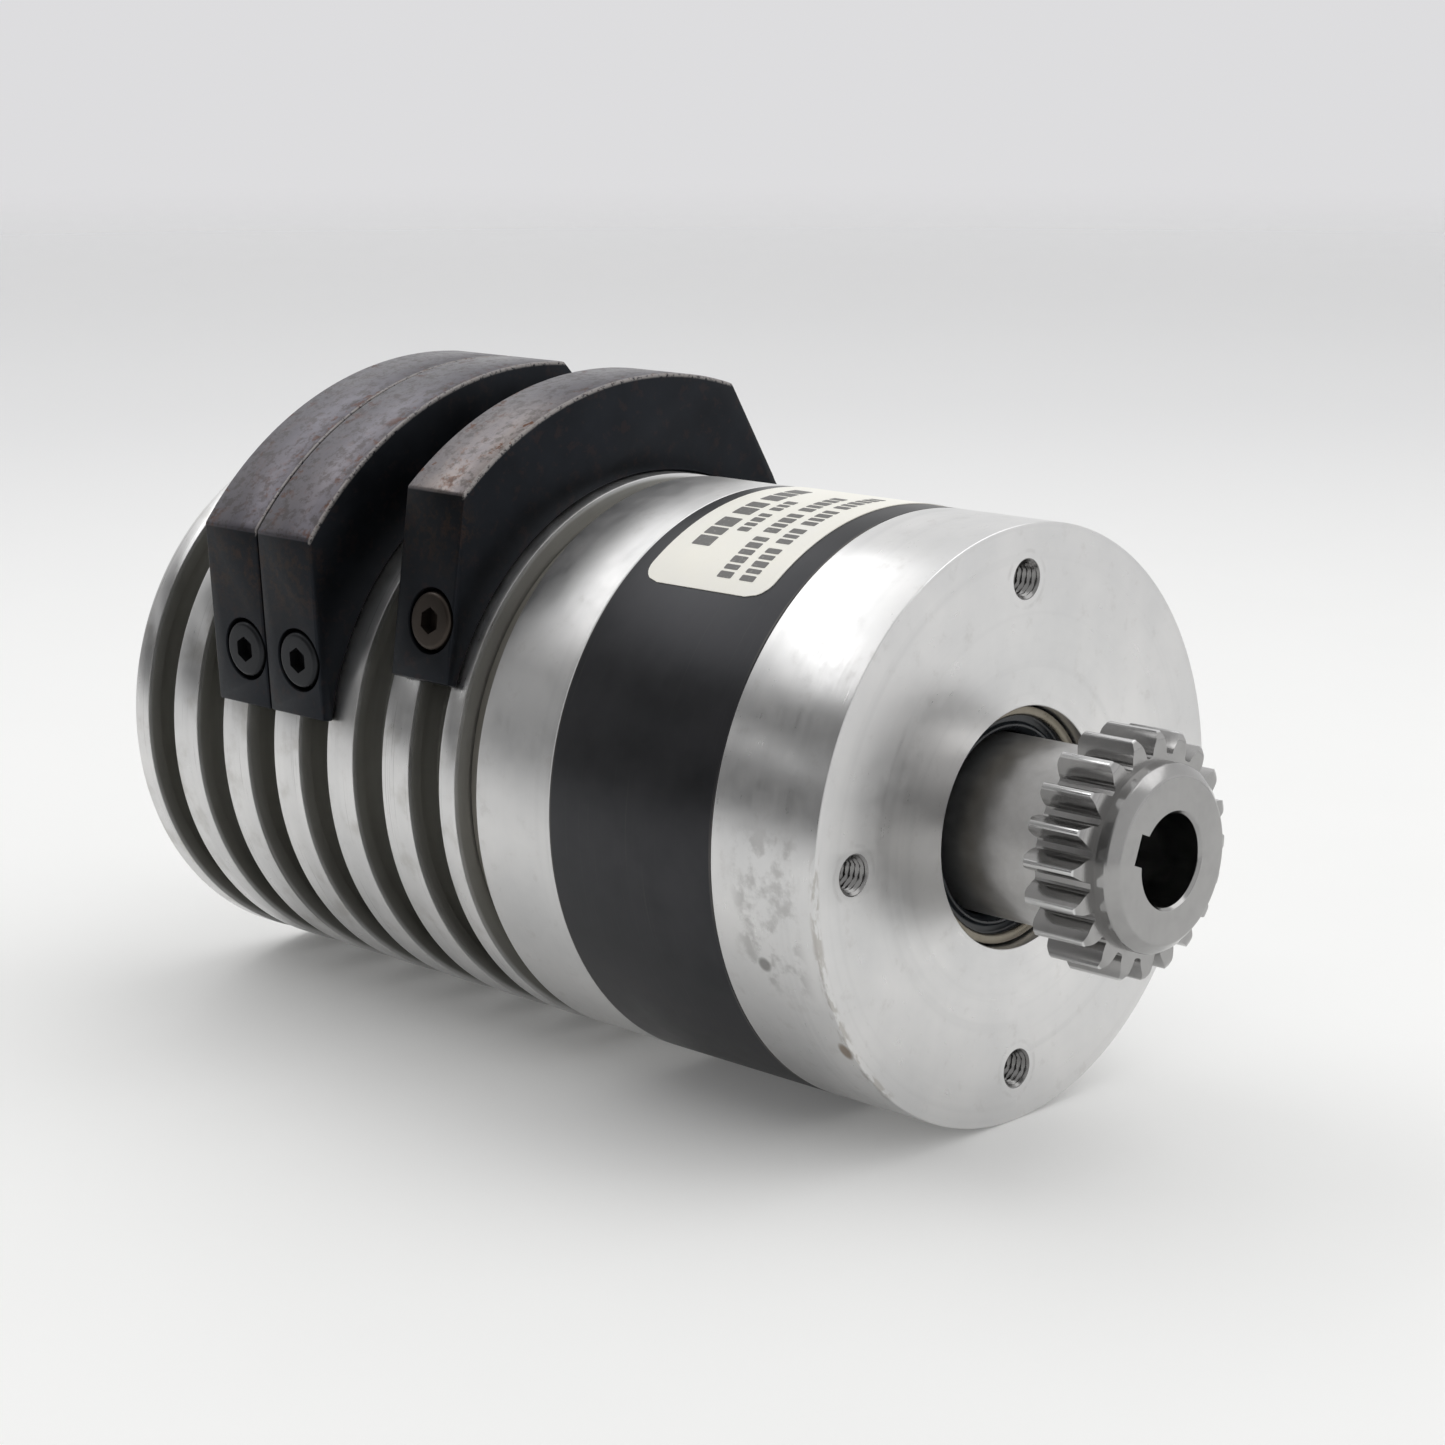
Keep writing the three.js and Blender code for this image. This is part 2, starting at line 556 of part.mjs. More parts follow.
const camFoot = polar(CAM_FOOT_RADIUS, UP - CAM_FOOT_HALF);
const camShoulder = polar(CAM_RADIUS, UP - CAM_ARC_HALF);
const camFlat = camFoot.clone().sub(camShoulder).normalize();
const camScrewSeat = camFoot.clone().addScaledVector(camFlat, -CAM_SCREW_FROM_FOOT);
const camSlotMiddle = -CAM_OVERHANG - SLOT_WIDTH / 2;

// Swings a piece made along the X axis onto the axis of a cam screw on the +Y flat, pointing inwards.
function ontoCamScrew(body, depth) {
  const inward = new THREE.Vector3(0, camFlat.y, -camFlat.x);
  const across = new THREE.Vector3(0, camFlat.x, camFlat.y);
  const basis = new THREE.Matrix4().makeBasis(inward, across, inward.clone().cross(across));
  const seat = new THREE.Vector3(camSlotMiddle, camScrewSeat.x, camScrewSeat.y);
  basis.setPosition(seat.addScaledVector(inward, depth));
  return body.transform(basis.elements);
}

const mirrored = (body) => body.mirror([0, 1, 0]);

function camBody() {
  const outline = [
    ...arc(CAM_RADIUS, UP - CAM_ARC_HALF, UP + CAM_ARC_HALF, CAM_ARC_STEPS),
    polar(CAM_FOOT_RADIUS, UP + CAM_FOOT_HALF),
    ...arc(CASE_RADIUS + GAP, UP + CAM_FOOT_HALF, UP - CAM_FOOT_HALF, CAM_INNER_STEPS),
    polar(CAM_FOOT_RADIUS, UP - CAM_FOOT_HALF),
  ];
  const tongueRadius = CASE_RADIUS - SLOT_LIP + SLOT_ROOM;
  const tongue = extruded([
    ...arc(CASE_RADIUS + GAP + OVERCUT, UP - CAM_FOOT_HALF, UP + CAM_FOOT_HALF, CAM_INNER_STEPS),
    ...arc(tongueRadius, UP + CAM_FOOT_HALF, UP - CAM_FOOT_HALF, CAM_INNER_STEPS),
  ], camSlotMiddle + CAM_TONGUE_WIDTH / 2, CAM_TONGUE_WIDTH);
  const shank = M6_LOW_HEAD.shank + CLEARANCE;
  const outside = -CAM_COUNTERBORE - 2 * OVERCUT;
  const hole = turned([
    [CAM_HOLE_LENGTH, 0], [CAM_HOLE_LENGTH, shank], [0, shank], [0, CAM_COUNTERBORE_RADIUS],
    [outside, CAM_COUNTERBORE_RADIUS], [outside, 0],
  ], HOLE_FACETS);
  const cutter = ontoCamScrew(hole, CAM_COUNTERBORE);
  return extruded(outline, 0, CAM_WIDTH).add(tongue).subtract(cutter).subtract(mirrored(cutter));
}

function camScrew() {
  return ontoCamScrew(capScrew(M6_LOW_HEAD, CAM_SCREW_LENGTH, CAM_SCREW_FACETS), CAM_COUNTERBORE);
}

function camNut() {
  const inner = CASE_RADIUS - SLOT_DEPTH + SLOT_ROOM;
  const outer = CASE_RADIUS - SLOT_LIP - SLOT_ROOM;
  const width = SLOT_INNER_WIDTH - 2 * GAP;
  const from = UP - CAM_NUT_CENTRE - CAM_NUT_HALF;
  const to = UP - CAM_NUT_CENTRE + CAM_NUT_HALF;
  const outline = [...arc(outer, from, to, NUT_STEPS), ...arc(inner, to, from, NUT_STEPS)];
  const hole = rod(CAM_NUT_HOLE_DEPTH, CAM_NUT_HOLE_DEPTH, M6_LOW_HEAD.shank + CLEARANCE, HOLE_FACETS);
  return extruded(outline, camSlotMiddle + width / 2, width).subtract(ontoCamScrew(hole, 0));
}

// ---------- assembly ----------

const gearbox = new THREE.Group();
gearbox.name = 'planetary_gearbox';

function place(name, body, finish, parent = gearbox) {
  const material = new THREE.MeshStandardMaterial({ name: finish, ...FINISHES[finish] });
  const mesh = new THREE.Mesh(geometryOf(body), material);
  mesh.name = name;
  parent.add(mesh);
  return mesh;
}

// Copies of a piece spread about the shaft axis, numbered from 1; the piece is made on the +Y side.
function placeRound(name, body, finish, angles) {
  angles.forEach((angle, i) => {
    place(`${name}_${i + 1}`, body, finish).rotation.x = radians(angle);
  });
}

// Screws with their heads' undersides at xHead, spread on a circle.
function placeScrews(name, size, length, xHead, radius, angles) {
  const screw = capScrew(size, length).translate([xHead, 0, 0]);
  placeRound(name, movedTo(screw, radius, 0), 'black_steel', angles);
}

function placeBearing(name, bearing, shaft) {
  const { front, width, outer, outerBore, innerRim } = bearing;
  place(`${name}_outer_ring`, tube(front, width, outer, outerBore, RING_FACETS), 'bearing_steel');
  place(`${name}_inner_ring`, tube(front, width, innerRim, shaft + GAP, RING_FACETS), 'bearing_steel');
  place(`${name}_balls`, ballCage(bearing), 'bearing_steel');
}

// case
place('front_housing', frontHousing(), 'turned_aluminium');
place('ring_gear', ringGear(), 'black_ring_steel');
place('rear_housing', rearHousing(), 'turned_aluminium');
place('shaft_seal', shaftSeal(INPUT_SEAL), 'seal_rubber');
place('seal_retaining_ring', retainingRing(), 'bronze');
place('output_seal', shaftSeal(OUTPUT_SEAL), 'seal_rubber');
place('rating_label', labelPlate(), 'label_film');
placeScrews('housing_screw', M4, CASE_SCREW_LENGTH, CASE_SCREW_HEAD_X, CASE_SCREW_CIRCLE, CASE_SCREW_ANGLES);
placeBearing('input_bearing', INPUT_BEARING, SHAFT_RADIUS);
placeBearing('output_bearing', OUTPUT_BEARING, HUB_RADIUS);

// input shaft
place('pinion_shaft', pinionShaft(), 'bright_steel');
place('sun_gear', sunGear(), 'bright_steel');
place('sun_key', sunKey(), 'bright_steel');
place('sun_circlip', circlip(SUN_CIRCLIP, STUB_RADIUS, CIRCLIP_FACETS), 'black_steel');
place('shaft_circlip', circlip(SHAFT_CIRCLIP, SHAFT_RADIUS, RING_FACETS), 'black_steel');

// planets and carrier
place('planet_carrier', planetCarrier(), 'bright_steel');
placeRound('planet_gear', planetGear(), 'bright_steel', PLANET_ANGLES);
placeRound('planet_bush', planetBush(), 'bronze', PLANET_ANGLES);
placeRound('planet_pin', planetPin(), 'bright_steel', PLANET_ANGLES);
placeRound('planet_circlip', planetCirclip(), 'black_steel', PLANET_ANGLES);

// cam drum
const coverScrewX = DRUM_END_X + COVER_RECESS - COVER_THICKNESS;
place('cam_drum', camDrum(), 'turned_aluminium');
place('drum_end_cover', drumEndCover(), 'turned_aluminium');
placeScrews('drum_screw', M5, DRUM_SCREW_LENGTH, DRUM_X - DRUM_WEB, DRUM_SCREW_CIRCLE, DRUM_SCREW_ANGLES);
placeScrews('cover_screw', M3, COVER_SCREW_LENGTH, coverScrewX, COVER_SCREW_CIRCLE, COVER_SCREW_ANGLES);

// Each cam's pieces share one group, turned to the cam's place and slid to its slot.
for (const { name, slot, angle } of CAMS) {
  const group = new THREE.Group();
  group.position.x = FIRST_SLOT_X - SLOT_PITCH * slot + CAM_OVERHANG;
  group.rotation.x = radians(angle);
  gearbox.add(group);
  place(name, camBody(), 'black_steel', group);
  place(`${name}_screw_a`, mirrored(camScrew()), 'black_steel', group);
  place(`${name}_screw_b`, camScrew(), 'black_steel', group);
  place(`${name}_nut_a`, mirrored(camNut()), 'black_steel', group);
  place(`${name}_nut_b`, camNut(), 'black_steel', group);
}

export default gearbox;
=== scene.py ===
"""Looks of a planetary gearbox with a cam drum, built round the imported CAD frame.

The frame is in metres: X is the shaft axis, x = 0 the front mounting face, +X towards the drive
pinion, +Z up. Profiles and outlines below are in millimetres, and MM turns them into metres.
Angles about the axis are in degrees from +Y towards +Z.
"""

import json
import math

import bmesh
import bpy
from mathutils import Matrix, Vector


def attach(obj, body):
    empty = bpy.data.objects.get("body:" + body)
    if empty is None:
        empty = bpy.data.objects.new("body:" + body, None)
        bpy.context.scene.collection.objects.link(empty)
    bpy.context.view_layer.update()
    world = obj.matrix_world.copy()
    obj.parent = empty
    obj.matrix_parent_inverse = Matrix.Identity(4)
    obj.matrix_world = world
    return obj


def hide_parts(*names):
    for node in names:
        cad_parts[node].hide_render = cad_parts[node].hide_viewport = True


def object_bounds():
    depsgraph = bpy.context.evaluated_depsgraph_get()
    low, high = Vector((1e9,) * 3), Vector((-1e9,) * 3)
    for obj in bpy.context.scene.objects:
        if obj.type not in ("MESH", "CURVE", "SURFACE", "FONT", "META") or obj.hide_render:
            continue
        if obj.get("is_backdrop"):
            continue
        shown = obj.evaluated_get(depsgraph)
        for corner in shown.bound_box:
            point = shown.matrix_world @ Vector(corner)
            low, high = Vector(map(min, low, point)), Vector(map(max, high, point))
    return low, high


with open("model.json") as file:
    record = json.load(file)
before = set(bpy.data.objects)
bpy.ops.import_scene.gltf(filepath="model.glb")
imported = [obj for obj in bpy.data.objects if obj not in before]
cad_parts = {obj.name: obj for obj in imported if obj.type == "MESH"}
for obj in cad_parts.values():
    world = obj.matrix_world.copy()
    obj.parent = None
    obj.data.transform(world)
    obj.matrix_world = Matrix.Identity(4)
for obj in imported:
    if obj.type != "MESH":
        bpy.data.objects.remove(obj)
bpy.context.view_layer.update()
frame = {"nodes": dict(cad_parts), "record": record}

MM = 0.001
FINE = 256                      # facets round the large pieces
MEDIUM = 128
SMALL = 64
SHARP_ANGLE = math.radians(32)

# ---------- sizes, in millimetres ----------

CASE_RADIUS = 50
FRONT_LENGTH = 22
RING_LENGTH = 37
RING_X = -FRONT_LENGTH
REAR_X = RING_X - RING_LENGTH
NECK_X = -77
NECK_RADIUS = 46.5
NECK_END_X = -82.2
EDGE = 0.35                     # usual corner rounding on turned pieces
BEARING_SEAT_X = -12.4
BEARING_SEAT_RADIUS = 23.8
SEAL_BORE_X = -10.8
SEAL_BORE_RADIUS = 20.1
SHAFT_HOLE_RADIUS = 18.6
RING_BORE_RADIUS = 33
REAR_WEB_X = -61.4
REAR_BORE_RADIUS = 34.3
REAR_SEAT_RADIUS = 36.2

RING_MODULE = 1.5
RING_TEETH = 48
RING_TOOTH_INNER = 34.5
RING_TOOTH_OUTER = 37.875
RING_WIDENING = 0.35

MOUNT_CIRCLE = 41
MOUNT_ANGLES = (0, 90, 180, 270)
THREAD_CORE = 2.5
THREAD_CREST = 3.0
THREAD_PITCH = 1.0
THREAD_DEPTH = 15
THREAD_POINT = 1.5
THREAD_CORE_HOLE = 2.4
LINER_RADIUS = 3.4

CASE_SCREW_CIRCLE = 41.5
CASE_SCREW_ANGLES = (45, 135, 225, 315)
CASE_SCREW_HOLE = 2.3
CASE_SCREW_HEAD_X = -71.5
CASE_SCREW_HEAD_HOLE = 3.8

PINION_MODULE = 1.75
PINION_TEETH = 20
PINION_SHIFT = 0.5
PINION_TIP = 20.12
PINION_FRONT = 26.4
PINION_WIDTH = 10.8
PINION_PHASE = 105
PINION_REAR = PINION_FRONT - PINION_WIDTH
SHAFT_FRONT = 30
SHAFT_RADIUS = 15
HUB_RADIUS = 15.25
SHAFT_BORE_RADIUS = 7.5
KEYWAY_ANGLE = 159
KEYWAY_HALF = 2.5
KEYWAY_TOP = 9.6
PRESSURE_ANGLE = math.radians(20)

DRUM_X = -82.5
DRUM_LENGTH = 91
DRUM_END_X = DRUM_X - DRUM_LENGTH
SLOTS = 6
SLOT_PITCH = 15
SLOT_HALF = 4
SLOT_INNER_HALF = 5.5
SLOT_LIP_RADIUS = 47
SLOT_FLOOR_RADIUS = 42
FIRST_SLOT_X = DRUM_X - 4
DRUM_WEB = 12
DRUM_BORE_RADIUS = 33
DRUM_SPIGOT_RADIUS = 15.3
DRUM_SCREW_CIRCLE = 20
DRUM_SCREW_ANGLES = (45, 135, 225, 315)
DRUM_SCREW_HOLE = 2.8
COVER_RECESS = 7
COVER_RECESS_RADIUS = 39.5
COVER_RADIUS = 39.2
COVER_THICKNESS = 4
COVER_SCREW_CIRCLE = 36
COVER_SCREW_ANGLES = (90, 210, 330)
COVER_SCREW_HOLE = 1.8

CAMS = (("cam_1", 3, 23.5), ("cam_2", 2, 23.5), ("cam_3", 0, 11.8))
CAM_WIDTH = 14.7
CAM_OVERHANG = 1.7
CAM_RADIUS = 67.5
CAM_ARC_HALF = 29.4
CAM_FOOT_HALF = 57.3
CAM_FOOT_RADIUS = 52.5
CAM_SCREW_FROM_FOOT = 10.3
CAM_INNER_RADIUS = 50.3
CAM_EDGE = 0.4
CAM_TONGUE_WIDTH = 7.5
CAM_TONGUE_RADII = (50.6, 47.4)
CAM_TONGUE_HALF = 57
CAM_COUNTERBORE = 3.7
CAM_COUNTERBORE_RADIUS = 5.6
CAM_COUNTERBORE_MOUTH = 5.8
CAM_SCREW_HOLE = 3.2
CAM_SLOT_MIDDLE = -CAM_OVERHANG - SLOT_HALF

# cap screws: shank radius, head radius, head height and length
M3_SCREW = (1.5, 2.75, 3, 10)
M6_LOW_SCREW = (2.9, 5, 4, 9.2)

LABEL_X = (-55.5, -27.7)
LABEL_ANGLES = (40, 130)
LABEL_CORNER = 4
BLOCK_GAP = 0.6                 # degrees between the blocks that stand for print
WORD_GAP = 1.2                  # degrees added after each group of blocks
# each row of print: its x range, the angles it covers from the top towards -Y, the width of a
# block in degrees and how many blocks stand together
PRINT_ROWS = (
    ((-51.3, -47.2), (-2, 29), 3.1, (3, 2, 4)),
    ((-45.5, -43.0), (8, 23), 1.5, (4, 4)),
    ((-40.2, -37.1), (1.5, 36.5), 1.7, (6, 4, 5)),
    ((-35.2, -32.1), (-5, 36.5), 1.5, (5, 3, 4, 6)),
)

# ---------- studio, in metres ----------

FLOOR_GLOW = 0.12               # painted glow: the floor gives off light of its own to lift its shadows, though it is no lamp
# each softbox: name, direction from the object, distance, size and brightness of its surface
SOFTBOXES = (
    ("key", (-0.68, -0.11, 0.73), 2.6, (2.7, 0.52), 2.5),
    ("edge_strip", (-0.68, -0.66, 0.32), 2.4, (1.6, 0.10), 1.6),
    ("overhead", (0.30, 0.45, 1.0), 2.8, (2.2, 2.2), 1.15),
)
CAMERA_PLACE = (0.3080, -0.3886, 0.1256)
CAMERA_AHEAD = (-0.67894, 0.70238, -0.21390)
CAMERA_LENS = 78.0
CAMERA_SENSOR = 36


# ---------- mesh helpers ----------

def polar(radius, degrees):
    return (radius * math.cos(math.radians(degrees)), radius * math.sin(math.radians(degrees)))


def arc(radius, start, end, steps):
    return [polar(radius, start + (end - start) * i / steps) for i in range(steps + 1)]


def new_piece(name, bm):
    bmesh.ops.recalc_face_normals(bm, faces=bm.faces)
    mesh = bpy.data.meshes.new(name)
    bm.to_mesh(mesh)
    bm.free()
    piece = bpy.data.objects.new(name, mesh)
    bpy.context.collection.objects.link(piece)
    return piece


def smooth(piece, angle=SHARP_ANGLE):
    piece.data.shade_smooth()
    piece.data.set_sharp_from_angle(angle=angle)
    return piece


def rounded(points, radius=EDGE, steps=3, closed=True):
    """The outline with each corner turned into a small curve; the ends of an open one stay."""
    count = len(points)
    result = []
    for i, point in enumerate(points):
        if not closed and i in (0, count - 1):
            result.append(point)
            continue
        p = Vector(point)
        before = Vector(points[i - 1]) - p
        after = Vector(points[(i + 1) % count]) - p
        reach = min(radius, before.length * 0.45, after.length * 0.45)
        a = p + before.normalized() * reach
        b = p + after.normalized() * reach
        for k in range(steps + 1):
            t = k / steps
            result.append(tuple(a * (1 - t) ** 2 + p * 2 * t * (1 - t) + b * t * t))
    return result


def lathe(name, profile, facets=FINE):
    """Turns (x, radius) points about the X axis; a profile that ends on the axis is left open there."""
    bm = bmesh.new()
    rings = []
    for x, radius in profile:
        if radius < 1e-6:
            rings.append([bm.verts.new((x * MM, 0, 0))])
            continue
        circle = (polar(radius * MM, 360 * i / facets) for i in range(facets))
        rings.append([bm.verts.new((x * MM, y, z)) for y, z in circle])
    closed = all(len(ring) > 1 for ring in rings)
    following = rings[1:] + rings[:1] if closed else rings[1:]
    for a, b in zip(rings, following):
        for i in range(facets):
            j = (i + 1) % facets
            if len(a) == 1 and len(b) > 1:
                bm.faces.new((a[0], b[i], b[j]))
            elif len(b) == 1 and len(a) > 1:
                bm.faces.new((a[i], b[0], a[j]))
            elif len(a) > 1:
                bm.faces.new((a[i], b[i], b[j], a[j]))
    return new_piece(name, bm)


def prism(name, outline, x_front, length):
    """Carries a flat (y, z) outline back from x_front along the axis."""
    bm = bmesh.new()
    ends = []
    for x in (x_front, x_front - length):
        ends.append([bm.verts.new((x * MM, y * MM, z * MM)) for y, z in outline])
    count = len(outline)
    for i in range(count):
        j = (i + 1) % count
        bm.faces.new((ends[0][i], ends[0][j], ends[1][j], ends[1][i]))
    for end in ends:
        bm.faces.new(end)
    return new_piece(name, bm)


def rod(name, x_front, length, radius, facets=SMALL):
    return prism(name, arc(radius, 0, 360, facets)[:-1], x_front, length)


def off_axis(piece, radius, degrees):
    y, z = polar(radius * MM, degrees)
    piece.data.transform(Matrix.Translation((0, y, z)))
    return piece


def baked(piece):
    """Turns a piece's modifiers into its own mesh."""
    graph = bpy.context.evaluated_depsgraph_get()
    mesh = bpy.data.meshes.new_from_object(piece.evaluated_get(graph))
    piece.modifiers.clear()
    old = piece.data
    piece.data = mesh
    mesh.name = old.name
    bpy.data.meshes.remove(old)
    return piece


def combine(piece, others, operation="DIFFERENCE"):
    for other in others:
        step = piece.modifiers.new("join", "BOOLEAN")
        step.operation = operation
        step.object = other
        step.solver = "MANIFOLD"
    baked(piece)
    for other in others:
        bpy.data.objects.remove(other)
    return piece


def bevelled(piece, width, segments=2, angle=30):
    step = piece.modifiers.new("bevel", "BEVEL")
    step.width = width * MM
    step.segments = segments
    step.limit_method = "ANGLE"
    step.angle_limit = math.radians(angle)
    return baked(piece)


# ---------- gear teeth ----------

def involute(angle):
    return math.tan(angle) - angle


def gear_outline(module, teeth, root, tip, widening=0.0, shift=0.0, phase=90, steps=7, corner=0.0):
    """Outline of a gear with involute flanks; corner rounds the tip edges."""
    pitch_radius = module * teeth / 2
    base_radius = pitch_radius * math.cos(PRESSURE_ANGLE)
    thickness = module * (math.pi / 2 + 2 * shift * math.tan(PRESSURE_ANGLE)) + widening

    def half_angle(radius):
        flank = math.acos(base_radius / max(radius, base_radius))
        return math.degrees(thickness / (2 * pitch_radius) + involute(PRESSURE_ANGLE) - involute(flank))

    start = max(root, base_radius)
    top = tip - corner
    radii = [start + (top - start) * (i / steps) for i in range(steps + 1)]
    flank = [(root, half_angle(start) + math.degrees(corner / root))] if root < start else []
    flank += [(radius, half_angle(radius)) for radius in radii]
    if corner:
        flank.append((tip - corner * 0.3, half_angle(top) - math.degrees(corner * 0.3 / tip)))
        flank.append((tip, half_angle(top) - math.degrees(corner / tip)))
    outline = []
    for i in range(teeth):
        centre = phase + 360 * i / teeth
        outline += [polar(radius, centre - half) for radius, half in flank]
        outline += [polar(radius, centre + half) for radius, half in reversed(flank)]
    return outline


# ---------- materials ----------

class Graph:
    """A material's node tree with short names for the nodes used here.

    Lengths are in millimetres; angle and degrees run about the axis from straight up towards -Y.
    """

    def __init__(self, name):
        self.material = bpy.data.materials.new(name)
        self.material.use_nodes = True
        self.tree = self.material.node_tree
        self.shader = self.tree.nodes["Principled BSDF"]
        coordinates = self.node("ShaderNodeTexCoord")
        self.place = self.vector("SCALE", coordinates.outputs["Object"], scale=1 / MM)
        split = self.node("ShaderNodeSeparateXYZ", Vector=self.place)
        self.x, self.y, self.z = split.outputs
        squares = self.plus(self.times(self.y, self.y), self.times(self.z, self.z))
        self.radius = self.math("SQRT", squares)
        self.angle = self.math("ARCTAN2", self.math("MULTIPLY", self.y, -1.0), self.z)
        self.degrees = self.math("MULTIPLY", self.angle, math.degrees(1))

    def node(self, kind, **inputs):
        node = self.tree.nodes.new(kind)
        for name, value in inputs.items():
            self.feed(node.inputs[name.replace("_", " ")], value)
        return node

    def feed(self, socket, value):
        if isinstance(value, bpy.types.NodeSocket):
            self.tree.links.new(value, socket)
        else:
            socket.default_value = value

    def math(self, operation, a, b=0.0):
        node = self.tree.nodes.new("ShaderNodeMath")
        node.operation = operation
        self.feed(node.inputs[0], a)
        self.feed(node.inputs[1], b)
        return node.outputs[0]

    def vector(self, operation, a, b=(0, 0, 0), scale=1.0):
        node = self.tree.nodes.new("ShaderNodeVectorMath")
        node.operation = operation
        self.feed(node.inputs[0], a)
        if operation == "SCALE":
            self.feed(node.inputs["Scale"], scale)
        else:
            self.feed(node.inputs[1], b)
        return node.outputs[0]

    def noise(self, place, scale, detail=3.0, roughness=0.55):
        node = self.node("ShaderNodeTexNoise", Vector=place, Scale=scale, Detail=detail, Roughness=roughness)
        return node.outputs[0]

    def step(self, value, low, high):
        """0 below low and 1 above high, smooth between; low above high turns it round."""
        node = self.tree.nodes.new("ShaderNodeMapRange")
        node.interpolation_type = "SMOOTHSTEP"
        self.feed(node.inputs["Value"], value)
        rising = low < high
        node.inputs["From Min"].default_value = low if rising else high
        node.inputs["From Max"].default_value = high if rising else low
        node.inputs["To Min"].default_value = 0.0 if rising else 1.0
        node.inputs["To Max"].default_value = 1.0 if rising else 0.0
        return node.outputs["Result"]

    def spread(self, value, low, high):
        """Maps the middle of a noise, 0.3 to 0.7, onto low to high."""
        node = self.tree.nodes.new("ShaderNodeMapRange")
        self.feed(node.inputs["Value"], value)
        node.inputs["From Min"].default_value = 0.3
        node.inputs["From Max"].default_value = 0.7
        node.inputs["To Min"].default_value = low
        node.inputs["To Max"].default_value = high
        return node.outputs["Result"]

    def mix(self, factor, a, b):
        node = self.tree.nodes.new("ShaderNodeMix")
        node.data_type = "RGBA"
        self.feed(node.inputs["Factor"], factor)
        colours = [socket for socket in node.inputs if socket.type == "RGBA"]
        for socket, colour in zip(colours, (a, b)):
            self.feed(socket, colour)
        return [socket for socket in node.outputs if socket.type == "RGBA"][0]

    def times(self, *values):
        result = values[0]
        for value in values[1:]:
            result = self.math("MULTIPLY", result, value)
        return result

    def plus(self, *values):
        result = values[0]
        for value in values[1:]:
            result = self.math("ADD", result, value)
        return result

    def stretched(self, along, outwards, around):
        """Coordinates that turn with the piece, each multiplied by a factor."""
        return self.node(
            "ShaderNodeCombineXYZ", X=self.times(self.x, along), Y=self.times(self.radius, outwards),
            Z=self.times(self.angle, around)).outputs[0]

    def turning_lines(self, per_mm, waver=0.6):
        """Fine rings left by the lathe tool, along the axis and across end faces alike."""
        return self.noise(self.stretched(per_mm, per_mm, waver), 1.0, detail=2.0)

    def between(self, value, low, high, blur):
        """1 between low and high, fading to 0 over the blur on either side."""
        return self.times(self.step(value, low - blur, low), self.step(value, high + blur, high))

    def spot(self, x, degrees, half_length, half_angle):
        """A soft round patch on the outside, at a place along the axis and an angle about it."""
        along = self.times(self.plus(self.x, -x), 1 / half_length)
        around = self.times(self.plus(self.degrees, -degrees), 1 / half_angle)
        return self.step(self.plus(self.times(along, along), self.times(around, around)), 1.0, 0.2)

    def bump(self, height, distance, strength=1.0, normal=None):
        node = self.tree.nodes.new("ShaderNodeBump")
        node.inputs["Distance"].default_value = distance * MM
        node.inputs["Strength"].default_value = strength
        self.feed(node.inputs["Height"], height)
        if normal is not None:
            self.feed(node.inputs["Normal"], normal)
        return node.outputs[0]

    def finish(self, colour, roughness, normal=None, metallic=1.0, anisotropy=0.0, specular=0.5):
        self.feed(self.shader.inputs["Base Color"], colour)
        self.feed(self.shader.inputs["Roughness"], roughness)
        self.feed(self.shader.inputs["Metallic"], metallic)
        self.shader.inputs["Specular IOR Level"].default_value = specular
        if normal is not None:
            self.feed(self.shader.inputs["Normal"], normal)
        if anisotropy:
            self.shader.inputs["Anisotropic"].default_value = anisotropy
            self.shader.inputs["Anisotropic Rotation"].default_value = 0.25
            tangent = self.tree.nodes.new("ShaderNodeTangent")
            tangent.direction_type = "RADIAL"
            tangent.axis = "X"
            self.tree.links.new(tangent.outputs[0], self.shader.inputs["Tangent"])
        return self.material


def grey(value, warmth=0.0):
    return (value * (1 + warmth), value, value * (1 - warmth), 1)


def aluminium(name, anisotropy=0.55, rough=0.25, grooves=False, face_stains=False, neck=False):
    """Turned aluminium; the flags add the drum's wear, the housing's stains or the darker brownish band round
    the neck.
    """
    g = Graph(name)
    lines = g.turning_lines(3.0)
    bands = g.turning_lines(0.35, waver=0.3)
    blotch = g.noise(g.place, 0.055, detail=4.0)
    cloud = g.noise(g.place, 0.25, detail=5.0, roughness=0.65)
    colour = g.mix(g.spread(blotch, 0, 1), grey(0.64), grey(0.73, 0.008))
    colour = g.mix(g.times(g.step(bands, 0.52, 0.75), 0.25), colour, grey(0.54))
    colour = g.mix(g.times(g.step(cloud, 0.56, 0.72), 0.2), colour, grey(0.42, 0.05))
    roughness = g.plus(g.spread(cloud, rough, rough + 0.09), g.times(g.spread(lines, 0, 1), 0.06))
    if grooves:
        colour, roughness = drum_wear(g, colour, roughness)
    if face_stains:
        colour = housing_stains(g, colour)
    if neck:
        # the neck, the groove between the case and the drum, is made darker and brownish
        band = g.between(g.radius, 40, 47.2, 0.6)
        colour = g.mix(g.times(band, 0.8), colour, (0.33, 0.31, 0.275, 1))
    scratches = g.noise(g.stretched(0.7, 0.7, 60), 1.0, detail=4.0)
    normal = g.bump(lines, 0.004, 0.9)
    normal = g.bump(g.step(scratches, 0.66, 0.72), 0.006, 0.4, normal)
    return g.finish(colour, roughness, normal, anisotropy=anisotropy)


